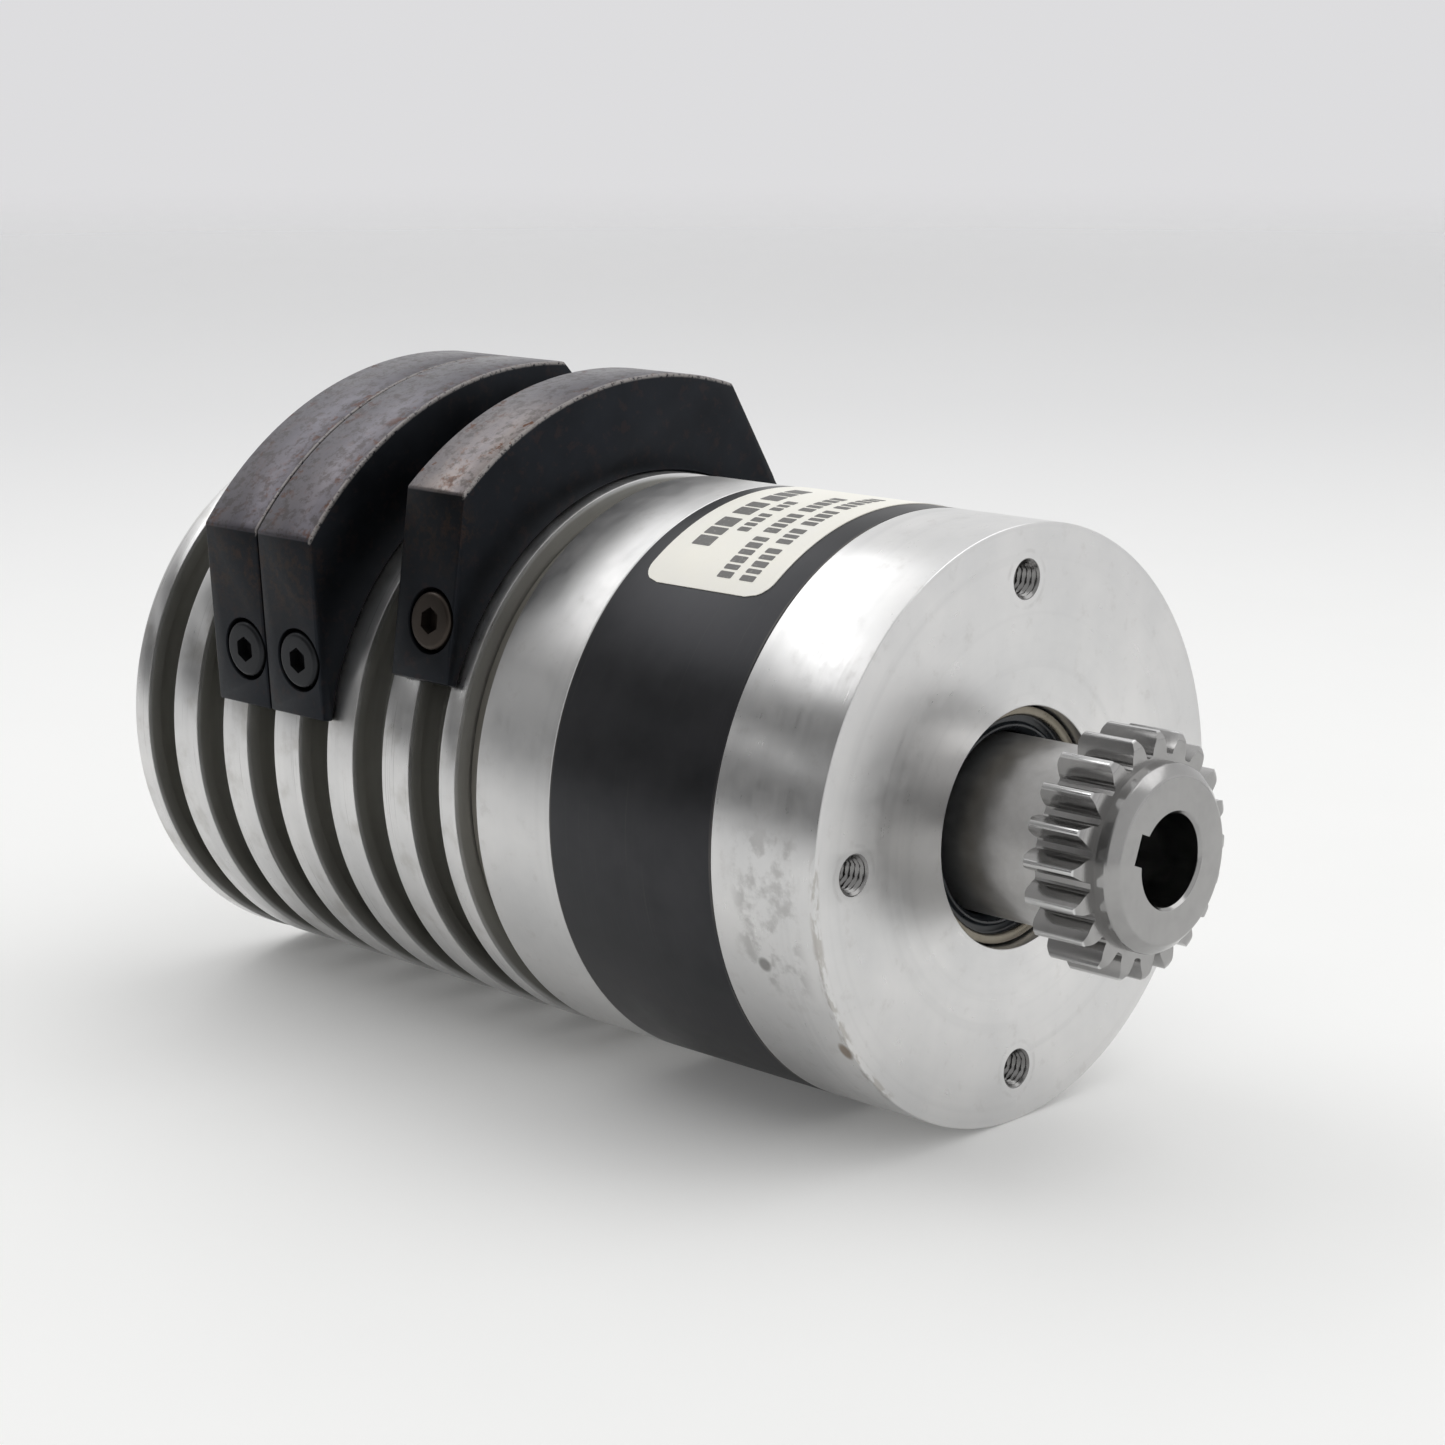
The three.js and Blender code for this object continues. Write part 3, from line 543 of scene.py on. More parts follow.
def drum_wear(g, colour, roughness):
    """Darker, duller grey-brown slot walls and floors, and soft stains and a few scratches round the lands
    between them.
    """
    deep = g.times(g.step(g.radius, 49.6, 48.9), g.step(g.x, DRUM_END_X + 0.4, DRUM_END_X + 1.2))
    # the slot walls and floors are darker grey-brown and rougher
    slot_mottle = g.spread(g.noise(g.stretched(1, 1, 3), 0.2), 0.75, 0.95)
    colour = g.mix(g.times(deep, slot_mottle), colour, (0.27, 0.265, 0.24, 1))
    roughness = g.plus(roughness, g.times(deep, 0.16))
    land = g.step(g.radius, 49.5, 49.85)
    stain = g.noise(g.stretched(0.14, 1, 6), 1.0, detail=4.0)
    colour = g.mix(g.times(land, g.step(stain, 0.50, 0.70), 0.38), colour, (0.36, 0.345, 0.31, 1))
    drag = g.noise(g.stretched(3.5, 1, 1.6), 1.0, detail=3.0)
    colour = g.mix(g.times(land, g.step(drag, 0.62, 0.69), 0.5), colour, grey(0.24, 0.03))
    return colour, roughness


def housing_stains(g, colour):
    """Handling marks on the near flank, a brown line along the face's edge and rings round the holes."""
    side = g.step(g.radius, 49.0, 49.6)
    smudge = g.noise(g.place, 0.22, detail=5.0, roughness=0.6)
    flank = g.times(side, g.between(g.degrees, 86, 110, 6), g.between(g.x, -15, -6, 4))
    colour = g.mix(g.times(flank, g.step(smudge, 0.44, 0.62), 0.55), colour, grey(0.33, 0.02))
    colour = g.mix(g.times(side, g.spot(-12.5, 108, 1.6, 1.8), 0.7), colour, grey(0.13, 0.05))
    broken = g.step(g.noise(g.stretched(1, 1, 16), 0.9, detail=4.0), 0.44, 0.58)
    rim = g.times(g.step(g.x, -1.5, -0.5), g.step(g.radius, 48.6, 49.4), g.between(g.degrees, 88, 138, 5))
    colour = g.mix(g.times(rim, broken, 0.4), colour, (0.24, 0.205, 0.16, 1))
    colour = g.mix(g.times(side, g.spot(-1.4, 125, 1.5, 2.6), 0.75), colour, (0.19, 0.125, 0.07, 1))
    across = g.math("ABSOLUTE", g.y)
    along = g.math("ABSOLUTE", g.z)
    far = g.plus(g.math("MAXIMUM", across, along), -MOUNT_CIRCLE)
    near = g.math("MINIMUM", across, along)
    from_hole = g.math("SQRT", g.plus(g.times(far, far), g.times(near, near)))
    ring = g.step(g.math("ABSOLUTE", g.plus(from_hole, -4.6)), 0.5, 0.1)
    patchy = g.step(g.noise(g.place, 0.3, detail=3.0), 0.42, 0.6)
    on_face = g.step(g.x, -0.3, -0.05)
    return g.mix(g.times(ring, patchy, on_face, 0.18), colour, grey(0.34, 0.03))


def machined_steel(name, base, rough, anisotropy=0.3, gear_base=None):
    """Clean turned steel; gear_base makes the pinion end darker and smoother, with a painted highlight along
    the tops of the teeth.
    """
    g = Graph(name)
    lines = g.turning_lines(4.0)
    cloud = g.noise(g.place, 0.35, detail=5.0, roughness=0.6)
    colour = g.mix(g.spread(cloud, 0, 1), grey(base * 0.9, 0.015), grey(base * 1.08, 0.01))
    roughness = g.plus(g.spread(cloud, rough - 0.03, rough + 0.06), g.times(lines, 0.05))
    if gear_base:
        gear = g.step(g.x, PINION_REAR - 1.5, PINION_REAR)
        roughness = g.plus(roughness, g.times(g.step(g.x, PINION_REAR, 14), 0.16))
        colour = g.mix(g.times(gear, g.spread(cloud, 0.85, 1)), colour, grey(gear_base, 0.01))
        # painted highlight: a light grey band along the tops of the teeth
        tip_highlight = g.times(gear, g.step(g.radius, PINION_TIP - 0.45, PINION_TIP - 0.15))
        colour = g.mix(g.times(tip_highlight, 0.8), colour, grey(0.72))
    normal = g.bump(lines, 0.003, 0.7)
    normal = g.bump(cloud, 0.008, 0.12, normal)
    return g.finish(colour, roughness, normal, anisotropy=anisotropy)


def black_ring(name):
    g = Graph(name)
    lines = g.turning_lines(4.0, waver=0.4)
    cloud = g.noise(g.place, 0.12, detail=4.0)
    rubbed = g.noise(g.stretched(2.5, 1, 1.5), 1.0, detail=3.0)
    colour = g.mix(g.spread(cloud, 0, 1), (0.036, 0.037, 0.040, 1), (0.048, 0.048, 0.052, 1))
    colour = g.mix(g.times(g.step(rubbed, 0.60, 0.72), 0.25), colour, (0.085, 0.083, 0.08, 1))
    from_middle = g.math("ABSOLUTE", g.plus(g.x, FRONT_LENGTH + RING_LENGTH / 2))
    edge = g.step(from_middle, RING_LENGTH / 2 - 0.6, RING_LENGTH / 2 - 0.1)
    colour = g.mix(g.times(edge, g.step(rubbed, 0.4, 0.6), 0.6), colour, (0.16, 0.15, 0.14, 1))
    roughness = g.plus(g.spread(cloud, 0.31, 0.38), g.times(lines, 0.08))
    return g.finish(colour, roughness, g.bump(lines, 0.003, 0.9), metallic=0.85, anisotropy=0.4)


def black_oxide(name, base, rust, seed):
    """Blackened steel with a few rust spots; the seed moves its pattern."""
    g = Graph(name)
    colour, roughness, grain, spots = oxide_skin(g, base, seed)
    rusty = g.times(g.step(spots, 0.62, 0.70), rust)
    colour = g.mix(rusty, colour, (0.115, 0.050, 0.026, 1))
    roughness = g.plus(roughness, g.times(rusty, 0.25))
    return oxide_finish(g, colour, roughness, grain, spots)


def oxide_skin(g, base, seed):
    """The blackened skin that screws and cams share: colour, roughness and the two noises."""
    shifted = g.vector("ADD", g.place, (seed, seed * 1.7, seed * 0.6))
    cloud = g.noise(shifted, 0.09, detail=4.0)
    grain = g.noise(shifted, 1.6, detail=5.0, roughness=0.65)
    spots = g.noise(shifted, 0.34, detail=7.0, roughness=0.72)
    light = tuple(value * 1.6 for value in base)
    colour = g.mix(g.spread(cloud, 0, 1), (*base, 1), (*light, 1))
    roughness = g.plus(g.spread(cloud, 0.34, 0.44), g.times(g.spread(grain, 0, 1), 0.08))
    return colour, roughness, grain, spots


def oxide_finish(g, colour, roughness, grain, spots):
    normal = g.bump(grain, 0.008, 0.3)
    normal = g.bump(g.step(spots, 0.58, 0.7), 0.010, 0.4, normal)
    return g.finish(colour, roughness, normal, metallic=0.9)


def cam_steel(name, middle, bare, bare_from, rust, seed):
    """A cam: its running arc is smoother and painted lighter and bluish as a highlight, rubbed bare past an
    angle, with rust along the edges.

    middle is the angle at which the cam sits on the drum; bare_from is measured from there.
    """
    g = Graph(name)
    from_middle = g.plus(g.degrees, -middle)
    colour, roughness, grain, spots = oxide_skin(g, (0.0105, 0.012, 0.015), seed)
    top = g.step(g.radius, CAM_RADIUS - 0.35, CAM_RADIUS - 0.1)
    # painted highlight: the running arc is lighter and bluish
    colour = g.mix(g.times(top, 0.85), colour, (0.112, 0.106, 0.124, 1))
    roughness = g.plus(roughness, g.times(top, -0.07))
    patches = g.noise(g.stretched(0.12, 1, 2.2), 1.0, detail=5.0)
    uneven = g.step(g.plus(patches, g.times(g.spread(spots, -1, 1), 0.07)), 0.40, 0.62)
    past_start = g.step(from_middle, bare_from, bare_from + 22)
    rubbed = g.times(top, past_start, g.plus(g.times(uneven, 0.6), 0.4), bare)
    colour = g.mix(rubbed, colour, (0.205, 0.180, 0.172, 1))
    from_edge = g.math("ABSOLUTE", g.plus(g.x, CAM_WIDTH / 2))
    near_edge = g.step(from_edge, CAM_WIDTH / 2 - 4.5, CAM_WIDTH / 2 - 0.8)
    mottle = g.noise(g.vector("ADD", g.place, (seed * 0.7, 0, seed)), 0.5, detail=6.0, roughness=0.75)
    dull = g.times(top, g.step(mottle, 0.48, 0.60), 0.5)
    colour = g.mix(dull, colour, (0.052, 0.043, 0.038, 1))
    roughness = g.plus(roughness, g.times(dull, 0.12))
    ends = g.times(g.step(g.radius, 57, 63), g.step(from_middle, CAM_ARC_HALF - 1, CAM_ARC_HALF + 3))
    colour = g.mix(g.times(ends, g.step(mottle, 0.46, 0.60), 0.4), colour, (0.050, 0.030, 0.019, 1))
    speckle = g.step(spots, 0.54, 0.61)
    rusty = g.times(speckle, g.plus(g.times(near_edge, top, 0.65), g.times(rubbed, 0.5), 0.08), rust)
    colour = g.mix(rusty, colour, (0.125, 0.055, 0.032, 1))
    roughness = g.plus(roughness, g.times(rusty, 0.25))
    front_rim = g.times(g.step(g.x, -0.6, -0.2), g.step(g.radius, CAM_RADIUS - 0.8, CAM_RADIUS - 0.3))
    colour = g.mix(g.times(front_rim, g.step(grain, 0.36, 0.50), 0.8), colour, (0.34, 0.32, 0.31, 1))
    return oxide_finish(g, colour, roughness, grain, spots)


def rubber(name):
    g = Graph(name)
    cloud = g.noise(g.place, 0.3, detail=4.0)
    colour = g.mix(g.spread(cloud, 0, 1), (0.016, 0.019, 0.023, 1), (0.022, 0.026, 0.031, 1))
    normal = g.bump(g.turning_lines(1.5), 0.01, 0.25)
    return g.finish(colour, g.spread(cloud, 0.24, 0.34), normal, metallic=0.0)


def bronze(name):
    g = Graph(name)
    cloud = g.noise(g.place, 0.3, detail=4.0)
    colour = g.mix(g.spread(cloud, 0, 1), (0.19, 0.17, 0.135, 1), (0.28, 0.255, 0.21, 1))
    return g.finish(colour, g.spread(cloud, 0.25, 0.4), g.bump(g.turning_lines(3.0), 0.004, 0.7))


def label_film(name):
    g = Graph(name)
    cloud = g.noise(g.place, 0.09, detail=4.0)
    dirt = g.noise(g.place, 0.8, detail=6.0, roughness=0.7)
    colour = g.mix(g.spread(cloud, 0, 1), (0.95, 0.925, 0.83, 1), (0.98, 0.965, 0.90, 1))
    colour = g.mix(g.times(g.step(dirt, 0.64, 0.76), 0.25), colour, (0.50, 0.45, 0.36, 1))
    return g.finish(colour, g.spread(cloud, 0.32, 0.45), g.bump(dirt, 0.01, 0.2), metallic=0.0)


def print_ink(name):
    g = Graph(name)
    wear = g.noise(g.place, 1.3, detail=5.0, roughness=0.7)
    colour = g.mix(g.step(wear, 0.55, 0.75), (0.12, 0.117, 0.112, 1), (0.34, 0.33, 0.30, 1))
    return g.finish(colour, 0.45, g.bump(wear, 0.005, 0.2), metallic=0.0)


ALUMINIUM = aluminium("housing_aluminium", face_stains=True)
REAR_ALUMINIUM = aluminium("rear_aluminium", anisotropy=0.2, rough=0.34, neck=True)
DRUM_ALUMINIUM = aluminium("drum_aluminium", anisotropy=0.45, grooves=True)
STEEL = machined_steel("machined_steel", base=0.60, rough=0.15, gear_base=0.33)
GROUND_STEEL = machined_steel("ground_steel", base=0.55, rough=0.14)
# painted shade: the walls of the tapped holes get a dark steel colour, darker than the aluminium they are cut
# in
THREAD_PAINTED_SHADE = machined_steel("tapped_thread_painted_shade", base=0.24, rough=0.2, anisotropy=0.0)
BLACK_RING = black_ring("satin_black_ring")
CAM_MIDDLES = {cam_name: cam_angle for cam_name, cam_slot, cam_angle in CAMS}
CAM_STEEL = {
    "cam_1": cam_steel("cam_1_steel", CAM_MIDDLES["cam_1"], bare=0.15, bare_from=0, rust=0.8, seed=13),
    "cam_2": cam_steel("cam_2_steel", CAM_MIDDLES["cam_2"], bare=0.2, bare_from=-4, rust=0.8, seed=37),
    "cam_3": cam_steel("cam_3_steel", CAM_MIDDLES["cam_3"], bare=0.95, bare_from=-2, rust=0.9, seed=71),
}
SCREW_STEEL = black_oxide("screw_steel", base=(0.021, 0.022, 0.024), rust=0.25, seed=5)
RUSTY_SCREW = black_oxide("rusty_screw_steel", base=(0.038, 0.031, 0.026), rust=0.6, seed=21)
RUBBER = rubber("oily_rubber")
BRONZE = bronze("bronze")
LABEL = label_film("label_film")
INK = print_ink("label_ink")


def dress(piece, material, slot, body, *stands_for):
    """Gives a finished piece its material, parents it to its body's empty and hides the CAD parts it stands
    for.
    """
    piece.data.materials.clear()
    piece.data.materials.append(material)
    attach(piece, body)
    if stands_for:
        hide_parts(*stands_for)
    return piece


# ---------- case ----------

def front_housing():
    profile = rounded([
        (0, SEAL_BORE_RADIUS), (0, CASE_RADIUS), (RING_X, CASE_RADIUS), (RING_X, BEARING_SEAT_RADIUS),
        (BEARING_SEAT_X, BEARING_SEAT_RADIUS), (BEARING_SEAT_X, SHAFT_HOLE_RADIUS),
        (SEAL_BORE_X, SHAFT_HOLE_RADIUS), (SEAL_BORE_X, SEAL_BORE_RADIUS)])
    piece = lathe("front_housing_body", profile)
    drills = [off_axis(mount_drill(), MOUNT_CIRCLE, angle) for angle in MOUNT_ANGLES]
    drills += case_screw_drills(-11, 12)
    combine(piece, drills)
    dress(smooth(piece), ALUMINIUM, "turned_aluminium", "housing", "front_housing")
    for number, angle in enumerate(MOUNT_ANGLES, 1):
        # each tapped hole's wall takes the dark colour of painted shade
        liner = off_axis(thread_liner(f"mount_thread_{number}"), MOUNT_CIRCLE, angle)
        dress(smooth(liner, math.radians(50)), THREAD_PAINTED_SHADE, "turned_aluminium", "housing")


def case_screw_drills(x_front, length):
    return [
        off_axis(rod("drill", x_front, length, CASE_SCREW_HOLE), CASE_SCREW_CIRCLE, angle)
        for angle in CASE_SCREW_ANGLES]


def mount_drill():
    return lathe("drill", [
        (1, 0), (1, LINER_RADIUS), (-THREAD_DEPTH, LINER_RADIUS), (-THREAD_DEPTH, THREAD_CORE_HOLE),
        (-THREAD_DEPTH - THREAD_POINT, 0)], SMALL)


def thread_liner(name):
    """The wall of a tapped hole: a ring whose inside is an M6 thread with a countersunk mouth."""
    turns_round = 48
    per_pitch = 8
    rows = int(THREAD_DEPTH / THREAD_PITCH * per_pitch)
    bm = bmesh.new()
    inside = []
    for row in range(rows + 1):
        depth = row * THREAD_PITCH / per_pitch
        ring = []
        for i in range(turns_round):
            phase = (depth / THREAD_PITCH + i / turns_round) % 1
            wave = 1 - abs(2 * phase - 1)
            thread = THREAD_CORE + (THREAD_CREST - THREAD_CORE) * min(1, wave * 1.15)
            radius = max(thread, LINER_RADIUS - 0.08 - depth * 0.9)
            y, z = polar(radius * MM, 360 * i / turns_round)
            ring.append(bm.verts.new((-depth * MM, y, z)))
        inside.append(ring)
    outside = []
    for x in (0, -THREAD_DEPTH):
        circle = (polar((LINER_RADIUS - 0.01) * MM, 360 * i / turns_round) for i in range(turns_round))
        outside.append([bm.verts.new((x * MM, y, z)) for y, z in circle])
    rings = inside + [outside[1], outside[0]]
    for a, b in zip(rings, rings[1:] + rings[:1]):
        for i in range(turns_round):
            j = (i + 1) % turns_round
            bm.faces.new((a[i], b[i], b[j], a[j]))
    return new_piece(name, bm)


def ring_gear():
    profile = rounded([
        (RING_X, RING_BORE_RADIUS), (RING_X, CASE_RADIUS), (REAR_X, CASE_RADIUS),
        (REAR_X, RING_BORE_RADIUS)], 0.3)
    piece = lathe("ring_gear_body", profile)
    teeth = gear_outline(
        RING_MODULE, RING_TEETH, root=RING_TOOTH_INNER, tip=RING_TOOTH_OUTER, widening=RING_WIDENING,
        steps=3)
    combine(piece, [prism("drill", teeth, -21, 39)] + case_screw_drills(-21, 39))
    dress(smooth(piece), BLACK_RING, "black_ring_steel", "housing", "ring_gear")


def rear_housing():
    profile = rounded([
        (REAR_X, REAR_BORE_RADIUS), (REAR_X, CASE_RADIUS), (NECK_X, CASE_RADIUS),
        (NECK_X, NECK_RADIUS), (NECK_END_X, NECK_RADIUS), (NECK_END_X, REAR_SEAT_RADIUS),
        (REAR_WEB_X, REAR_SEAT_RADIUS), (REAR_WEB_X, REAR_BORE_RADIUS)])
    piece = lathe("rear_housing_body", profile)
    drill = [
        (-58, 0), (-58, CASE_SCREW_HOLE), (CASE_SCREW_HEAD_X, CASE_SCREW_HOLE),
        (CASE_SCREW_HEAD_X, CASE_SCREW_HEAD_HOLE), (-84, CASE_SCREW_HEAD_HOLE), (-84, 0)]
    combine(piece, [
        off_axis(lathe("drill", drill, SMALL), CASE_SCREW_CIRCLE, angle) for angle in CASE_SCREW_ANGLES])
    dress(smooth(piece), REAR_ALUMINIUM, "turned_aluminium", "housing", "rear_housing")


def seals():
    lip = rounded([
        (-4.3, 16.9), (-3.6, 16.6), (-3.6, 16.2), (-4.9, 15.3), (-5.8, 15.3), (-6.6, 16.7), (-10.6, 16.7),
        (-10.6, 19.8), (-3.6, 19.8), (-3.6, 18.6), (-4.3, 18.2)], 0.25)
    dress(smooth(lathe("shaft_seal_body", lip, MEDIUM)), RUBBER, "seal_rubber", "housing", "shaft_seal")
    ring = rounded([(-2.4, 18.5), (-2.4, 19.7), (-3.3, 19.7), (-3.3, 18.1), (-2.9, 18.1)], 0.25)
    dress(smooth(lathe("seal_ring_body", ring, MEDIUM)), BRONZE, "bronze", "housing", "seal_retaining_ring")


# ---------- label ----------

def curved_plate(bm, x_range, angles, inner, outer, corner):
    """A thin plate bent round the case, with rounded corners of the given radius."""
    def inset(s):
        """How far a rounded corner draws the edge in, at a distance from the plate's end."""
        return corner - math.sqrt(max(0, corner ** 2 - (corner - s) ** 2)) if s < corner else 0

    mean = math.radians(1) * outer
    length = (angles[1] - angles[0]) * mean
    columns = max(2, round(length / 1.2))
    places = {i / columns * length for i in range(columns + 1)}
    cuts = 6 if corner > 1 else 2
    for k in range(cuts + 1):
        places |= {corner * k / cuts, length - corner * k / cuts}
    rows = 6 if corner > 1 else 1
    layers = []
    for radius in (inner, outer):
        grid = []
        for s in sorted(places):
            pull = min(inset(min(s, length - s)), (x_range[1] - x_range[0]) / 2 - 0.01)
            low, high = x_range[0] + pull, x_range[1] - pull
            y, z = polar(radius * MM, angles[0] + s / mean)
            grid.append([bm.verts.new(((low + (high - low) * k / rows) * MM, y, z)) for k in range(rows + 1)])
        layers.append(grid)
    for grid in layers:
        for a, b in zip(grid, grid[1:]):
            for k in range(rows):
                bm.faces.new((a[k], a[k + 1], b[k + 1], b[k]))
    loops = []
    for grid in layers:
        last = [column[-1] for column in grid]
        first = [column[0] for column in grid]
        loops.append(grid[0] + last[1:] + grid[-1][-2::-1] + first[-2:0:-1])
    for i in range(len(loops[0])):
        j = (i + 1) % len(loops[0])
        bm.faces.new((loops[0][i], loops[0][j], loops[1][j], loops[1][i]))


def blocks(start, end, width, groups):
    """Angles of the blocks in a row, from start down to end, with a wider gap after each group."""
    angle = start
    group = 0
    while angle - width > end:
        for i in range(groups[group % len(groups)]):
            block = width * (1, 0.8, 1.1, 0.9)[i % 4]
            if angle - block < end:
                return
            yield angle, angle - block
            angle -= block + BLOCK_GAP
        angle -= WORD_GAP
        group += 1


def label():
    bm = bmesh.new()
    curved_plate(bm, LABEL_X, LABEL_ANGLES, 50.02, 50.16, LABEL_CORNER)
    dress(smooth(new_piece("label_sheet", bm)), LABEL, "label_film", "housing", "rating_label")
    # plain blocks in place of print
    bm = bmesh.new()
    for x_range, (end, start), width, groups in PRINT_ROWS:
        for high, low in blocks(start, end, width, groups):
            curved_plate(bm, x_range, (90 + low, 90 + high), 50.165, 50.19, 0.2)
    dress(smooth(new_piece("label_bars", bm)), INK, "label_film", "housing")


# ---------- input shaft ----------

def pinion_shaft():
    root = PINION_MODULE * (PINION_TEETH / 2 + PINION_SHIFT - 1.25)
    body = rounded([
        (SHAFT_FRONT, 0), (SHAFT_FRONT, 13.5), (28.4, HUB_RADIUS), (26.2, HUB_RADIUS),
        (26.2, root - 0.1), (PINION_REAR + 0.2, root - 0.1), (PINION_REAR + 0.2, SHAFT_RADIUS),
        (-24.5, SHAFT_RADIUS), (-24.5, 10), (-30.8, 10), (-30.8, 7), (-51, 7), (-51, 0)],
        0.3, closed=False)
    piece = lathe("pinion_shaft_body", body, MEDIUM)
    outline = gear_outline(
        PINION_MODULE, PINION_TEETH, root, PINION_TIP, widening=-0.15, shift=PINION_SHIFT,
        phase=PINION_PHASE, steps=8, corner=0.35)
    teeth = prism("teeth", outline, PINION_FRONT, PINION_WIDTH)
    ends = rounded([
        (PINION_FRONT, 0), (PINION_FRONT, PINION_TIP - 1.1), (PINION_FRONT - 0.9, PINION_TIP + 0.3),
        (PINION_REAR + 0.9, PINION_TIP + 0.3), (PINION_REAR, PINION_TIP - 1.1), (PINION_REAR, 0)],
        0.5, closed=False)
    combine(teeth, [lathe("ends", ends, MEDIUM)], "INTERSECT")
    combine(piece, [teeth], "UNION")
    bore = rounded([
        (31, 0), (31, 8.6), (SHAFT_FRONT, 8.0), (29.5, SHAFT_BORE_RADIUS), (-12, SHAFT_BORE_RADIUS),
        (-14, 0)], 0.1, closed=False)
    keyway = prism("keyway", [
        (0, -KEYWAY_HALF), (KEYWAY_TOP, -KEYWAY_HALF), (KEYWAY_TOP, KEYWAY_HALF), (0, KEYWAY_HALF)], 31, 41)
    keyway.data.transform(Matrix.Rotation(math.radians(KEYWAY_ANGLE), 4, "X"))
    key_seat = prism("key_seat", [(-2.8, 4), (2.8, 4), (2.8, 9), (-2.8, 9)], -32.2, 14.6)
    combine(piece, [lathe("bore", bore, SMALL), keyway, key_seat])
    dress(smooth(piece, math.radians(25)), STEEL, "bright_steel", "input_shaft", "pinion_shaft")


# ---------- screws ----------

def cap_screw(name, size):
    """A socket-head cap screw along X: underside of the head at x = 0, shank towards +X."""
    shank, head, height, length = size
    profile = [
        (length, 0), (length, shank - 0.4), (length - 0.4, shank), (0, shank), (0, head - 0.15),
        (-0.15, head)]
    crown = head * 0.16
    for radius, angle in ((crown, 15 * step) for step in range(7)):
        across, along = polar(radius, angle)
        profile.append((-height + crown - along, head - crown + across))
    profile.append((-height, 0))
    piece = lathe(name, profile, SMALL)
    hexagon = arc(head * 0.47, 0, 360, 6)[:-1]
    mouth = lathe("mouth", [
        (-height + 0.5, 0), (-height - 0.2, head * 0.56), (-height - 1, head * 0.56),
        (-height - 1, 0)], SMALL)
    return combine(piece, [prism("socket", hexagon, -height * 0.45, height), mouth])


# ---------- drum ----------

def cam_drum():
    seat = DRUM_END_X + COVER_RECESS
    web_end = DRUM_X - DRUM_WEB
    profile = [(DRUM_X, DRUM_SPIGOT_RADIUS), (DRUM_X, CASE_RADIUS)]
    for i in range(SLOTS):
        middle = FIRST_SLOT_X - SLOT_PITCH * i - SLOT_HALF
        profile += [
            (middle + SLOT_HALF, CASE_RADIUS), (middle + SLOT_HALF, SLOT_LIP_RADIUS),
            (middle + SLOT_INNER_HALF, SLOT_LIP_RADIUS), (middle + SLOT_INNER_HALF, SLOT_FLOOR_RADIUS),
            (middle - SLOT_INNER_HALF, SLOT_FLOOR_RADIUS), (middle - SLOT_INNER_HALF, SLOT_LIP_RADIUS),
            (middle - SLOT_HALF, SLOT_LIP_RADIUS), (middle - SLOT_HALF, CASE_RADIUS)]
    profile += [
        (DRUM_END_X, CASE_RADIUS), (DRUM_END_X, COVER_RECESS_RADIUS), (seat, COVER_RECESS_RADIUS),
        (seat, DRUM_BORE_RADIUS), (web_end, DRUM_BORE_RADIUS), (web_end, DRUM_SPIGOT_RADIUS)]
    piece = lathe("cam_drum_body", rounded(profile, 0.3, 2))
    drills = [
        off_axis(rod("drill", DRUM_X + 1, 14, DRUM_SCREW_HOLE), DRUM_SCREW_CIRCLE, angle)
        for angle in DRUM_SCREW_ANGLES]
    drills += cover_screw_drills(seat + 8, 9)
    combine(piece, drills)
    dress(smooth(piece), DRUM_ALUMINIUM, "turned_aluminium", "drum", "cam_drum")


def cover_screw_drills(x_front, length):
    return [
        off_axis(rod("drill", x_front, length, COVER_SCREW_HOLE), COVER_SCREW_CIRCLE, angle)
        for angle in COVER_SCREW_ANGLES]


def drum_end_cover():
    front = DRUM_END_X + COVER_RECESS
    back = front - COVER_THICKNESS
    profile = rounded([
        (front, 0), (front, COVER_RADIUS), (back, COVER_RADIUS), (back, 12), (front - 3.6, 11.4),
        (front - 3.6, 2.2), (front - 2.2, 0)], 0.3, closed=False)
    piece = lathe("drum_end_cover_body", profile)
    combine(piece, cover_screw_drills(front + 1, 6))
    dress(smooth(piece), REAR_ALUMINIUM, "turned_aluminium", "drum", "drum_end_cover")
    for number, angle in enumerate(COVER_SCREW_ANGLES, 1):
        screw = cap_screw(f"cover_screw_{number}_body", M3_SCREW)
        screw.data.transform(Matrix.Translation((back * MM, 0, 0)))
        off_axis(screw, COVER_SCREW_CIRCLE, angle)
        dress(smooth(screw), SCREW_STEEL, "black_steel", "drum", f"cover_screw_{number}")


# ---------- cams ----------
# A cam is made with its middle straight up and its front face at x = 0, then set in its place.

def cam_screw_axis():
    """Turns a piece made along X onto the +Y screw of a cam, with x = 0 on the flat."""
    foot = Vector(polar(CAM_FOOT_RADIUS, 90 - CAM_FOOT_HALF))
    shoulder = Vector(polar(CAM_RADIUS, 90 - CAM_ARC_HALF))
    flat = (foot - shoulder).normalized()
    seat = foot - flat * CAM_SCREW_FROM_FOOT
    inward = Vector((0, flat.y, -flat.x))
    across = Vector((0, flat.x, flat.y))
    turn = Matrix((inward, across, inward.cross(across))).transposed().to_4x4()
    return Matrix.Translation(Vector((CAM_SLOT_MIDDLE, seat.x, seat.y)) * MM) @ turn


def onto_screw_axis(piece, depth, side):
    shift = Matrix.Translation((depth * MM, 0, 0))
    mirror = Matrix.Diagonal((1, side, 1, 1))
    piece.data.transform(mirror @ cam_screw_axis() @ shift)
    if side < 0:
        piece.data.flip_normals()
    return piece


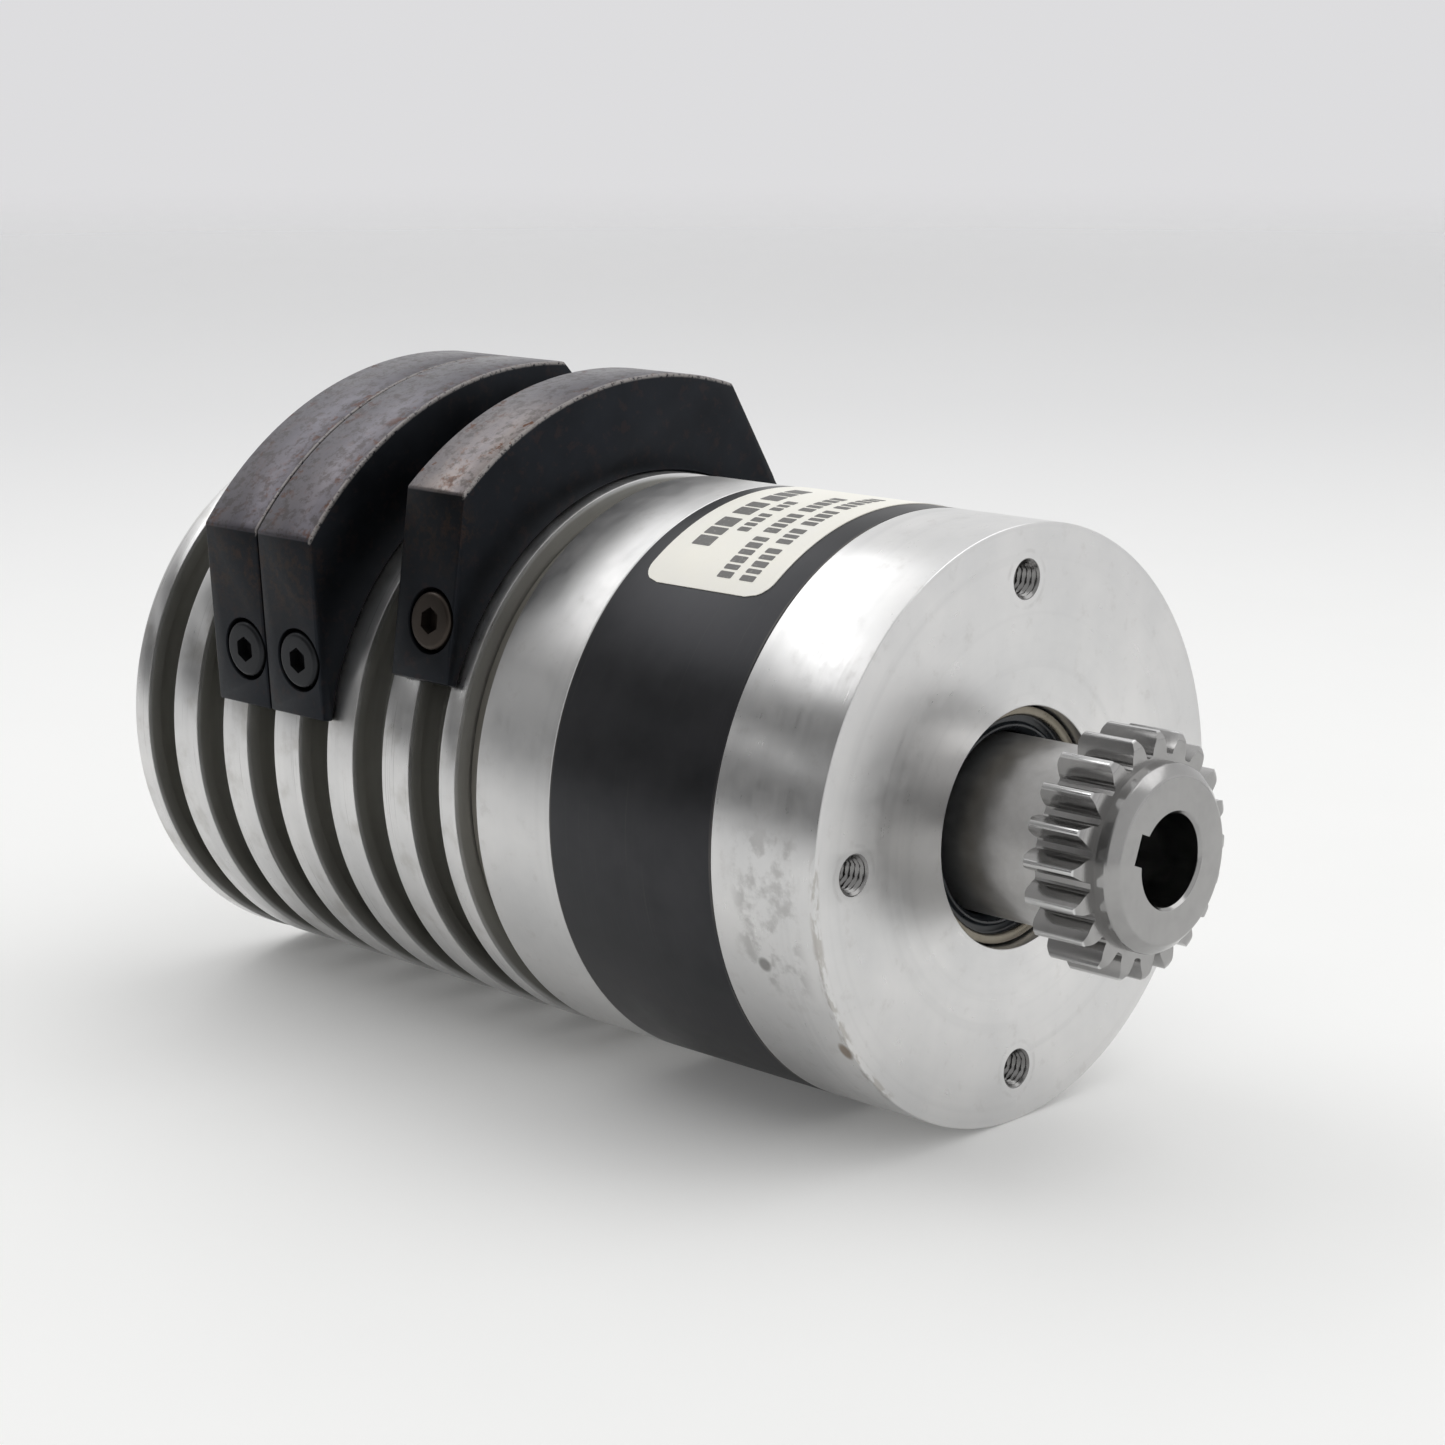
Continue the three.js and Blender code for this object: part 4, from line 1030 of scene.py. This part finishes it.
def cam_blank(name):
    outline = arc(CAM_RADIUS, 90 - CAM_ARC_HALF, 90 + CAM_ARC_HALF, 48)
    outline += [polar(CAM_FOOT_RADIUS, 90 + CAM_FOOT_HALF)]
    outline += arc(CAM_INNER_RADIUS, 90 + CAM_FOOT_HALF, 90 - CAM_FOOT_HALF, 90)
    outline += [polar(CAM_FOOT_RADIUS, 90 - CAM_FOOT_HALF)]
    return bevelled(prism(name, outline, 0, CAM_WIDTH), CAM_EDGE)


def cam(name, slot, angle):
    body = f"{name}_set"
    piece = cam_blank(f"{name}_body")
    outer, inner = CAM_TONGUE_RADII
    low, high = 90 - CAM_TONGUE_HALF, 90 + CAM_TONGUE_HALF
    section = arc(outer, low, high, 90) + arc(inner, high, low, 90)
    tongue = prism("tongue", section, CAM_SLOT_MIDDLE + CAM_TONGUE_WIDTH / 2, CAM_TONGUE_WIDTH)
    combine(piece, [tongue], "UNION")
    drills = []
    for side in (1, -1):
        drill = lathe("drill", rounded([
            (30, 0), (30, CAM_SCREW_HOLE), (0, CAM_SCREW_HOLE), (0, CAM_COUNTERBORE_RADIUS),
            (-CAM_COUNTERBORE + 0.25, CAM_COUNTERBORE_RADIUS), (-CAM_COUNTERBORE, CAM_COUNTERBORE_MOUTH),
            (-9, CAM_COUNTERBORE_MOUTH), (-9, 0)], 0.1, 1, closed=False), SMALL)
        drills.append(onto_screw_axis(drill, CAM_COUNTERBORE, side))
    combine(piece, drills)
    pieces = [(smooth(piece), CAM_STEEL[name], name)]
    for letter, side in (("a", -1), ("b", 1)):
        screw = cap_screw(f"{name}_screw_{letter}_body", M6_LOW_SCREW)
        steel = RUSTY_SCREW if name == "cam_3" else SCREW_STEEL
        screw = smooth(onto_screw_axis(screw, CAM_COUNTERBORE, side))
        pieces.append((screw, steel, f"{name}_screw_{letter}"))
    for part, material, node in pieces:
        part.data.transform(Matrix.Rotation(math.radians(angle), 4, "X"))
        part.location.x = (FIRST_SLOT_X - SLOT_PITCH * slot + CAM_OVERHANG) * MM
        bpy.context.view_layer.update()
        dress(part, material, "black_steel", body, node)


# ---------- nodes that keep their CAD shape ----------

def carried_nodes():
    finishes = {
        "bright_steel": STEEL, "bearing_steel": GROUND_STEEL, "black_steel": SCREW_STEEL,
        "bronze": BRONZE, "seal_rubber": RUBBER, "turned_aluminium": REAR_ALUMINIUM,
        "black_ring_steel": BLACK_RING, "label_film": LABEL,
    }
    slots = {part["node"]: part["material_slot"] for part in frame["record"]["subparts"]}
    for node, obj in frame["nodes"].items():
        for place in obj.material_slots:
            place.material = finishes[slots[node]]


# ---------- studio ----------

def floor():
    """A large pale sheet with a painted pool of light, paler near the object and greyer far off, and a
    painted glow that lifts its shadows; it fades out in the distance.
    """
    low = min(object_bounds()[0].z / MM, -CASE_RADIUS)
    disc = lathe("floor", [(0, 0), (0, 400), (0, 1500), (0, 9000), (-5, 9000), (-5, 0)], MEDIUM)
    disc.data.transform(Matrix.Translation((0, 0, low * MM)) @ Matrix.Rotation(math.radians(-90), 4, "Y"))
    g = Graph("pale_paper")
    distance = g.math("SQRT", g.plus(g.times(g.x, g.x), g.times(g.y, g.y)))
    fibre = g.noise(g.place, 0.02, detail=4.0)
    # painted pool of light: paler near the object, greyer far off
    colour = g.mix(g.step(distance, 200, 1100), (0.86, 0.86, 0.852, 1), (0.67, 0.67, 0.675, 1))
    colour = g.mix(g.times(g.spread(fibre, 0, 1), 0.05), colour, (0.70, 0.70, 0.69, 1))
    g.finish(colour, 0.6, metallic=0.0, specular=0.2)
    # painted glow: the floor's colour is also given off as light
    g.feed(g.shader.inputs["Emission Color"], colour)
    g.shader.inputs["Emission Strength"].default_value = FLOOR_GLOW
    g.feed(g.shader.inputs["Alpha"], g.step(distance, 3500, 800))
    disc.data.materials.append(g.material)
    disc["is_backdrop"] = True


def softbox(name, direction, distance, size, radiance):
    """A rectangular light that faces the object; radiance is the brightness of its surface."""
    light = bpy.data.lights.new(name, "AREA")
    light.shape = "RECTANGLE"
    light.size, light.size_y = size
    light.energy = radiance * math.pi * size[0] * size[1]
    lamp = bpy.data.objects.new(name, light)
    lamp.location = Vector(direction).normalized() * distance
    lamp.rotation_euler = (-lamp.location).to_track_quat("-Z", "Y").to_euler()
    lamp.visible_camera = False
    bpy.context.collection.objects.link(lamp)


def room():
    """What the object reflects: pale walls with two darker places, and plain paper for the camera."""
    world = bpy.data.worlds.new("studio")
    bpy.context.scene.world = world
    world.use_nodes = True
    tree = world.node_tree

    def node(kind, **inputs):
        made = tree.nodes.new(kind)
        for name, value in inputs.items():
            socket = made.inputs[name.replace("_", " ")]
            if isinstance(value, bpy.types.NodeSocket):
                tree.links.new(value, socket)
            else:
                socket.default_value = value
        return made

    def facing(direction, low, high):
        """0 to 1 as a ray's direction turns towards the given one."""
        dot = tree.nodes.new("ShaderNodeVectorMath")
        dot.operation = "DOT_PRODUCT"
        tree.links.new(ray, dot.inputs[0])
        dot.inputs[1].default_value = Vector(direction).normalized()
        ramp = node("ShaderNodeMapRange", Value=dot.outputs["Value"], From_Min=low, From_Max=high)
        ramp.interpolation_type = "SMOOTHSTEP"
        return ramp.outputs["Result"]

    def mixed(factor, a, b):
        made = tree.nodes.new("ShaderNodeMix")
        made.data_type = "RGBA"
        colours = [socket for socket in made.inputs if socket.type == "RGBA"]
        tree.links.new(factor, made.inputs["Factor"])
        for socket, colour in zip(colours, (a, b)):
            if isinstance(colour, bpy.types.NodeSocket):
                tree.links.new(colour, socket)
            else:
                socket.default_value = colour
        return [socket for socket in made.outputs if socket.type == "RGBA"][0]

    ray = node("ShaderNodeTexCoord").outputs["Generated"]
    colour = mixed(facing((-0.68, 0.55, 0.45), 0.55, 0.95), grey(0.72), grey(0.92))
    colour = mixed(facing((0.70, 0.68, -0.05), 0.5, 0.95), colour, grey(0.95))
    colour = mixed(facing((-0.60, -0.75, 0.30), 0.72, 0.95), colour, grey(0.11))
    colour = mixed(facing((0.1, -1.0, 0.15), 0.66, 0.97), colour, grey(0.18))
    seen = node("ShaderNodeLightPath").outputs["Is Camera Ray"]
    background = tree.nodes["Background"]
    tree.links.new(mixed(seen, colour, (0.725, 0.722, 0.735, 1)), background.inputs["Color"])


def studio():
    room()
    for box in SOFTBOXES:
        softbox(*box)


def camera():
    view = bpy.data.cameras.new("camera")
    view.sensor_width = CAMERA_SENSOR
    view.lens = CAMERA_LENS
    eye = bpy.data.objects.new("camera", view)
    eye.location = Vector(CAMERA_PLACE)
    eye.rotation_euler = Vector(CAMERA_AHEAD).to_track_quat("-Z", "Y").to_euler()
    bpy.context.collection.objects.link(eye)
    bpy.context.scene.camera = eye


front_housing()
ring_gear()
rear_housing()
seals()
label()
pinion_shaft()
cam_drum()
drum_end_cover()
for cam_name, cam_slot, cam_angle in CAMS:
    cam(cam_name, cam_slot, cam_angle)
carried_nodes()
floor()
studio()
camera()
bpy.context.scene.view_settings.view_transform = "Standard"
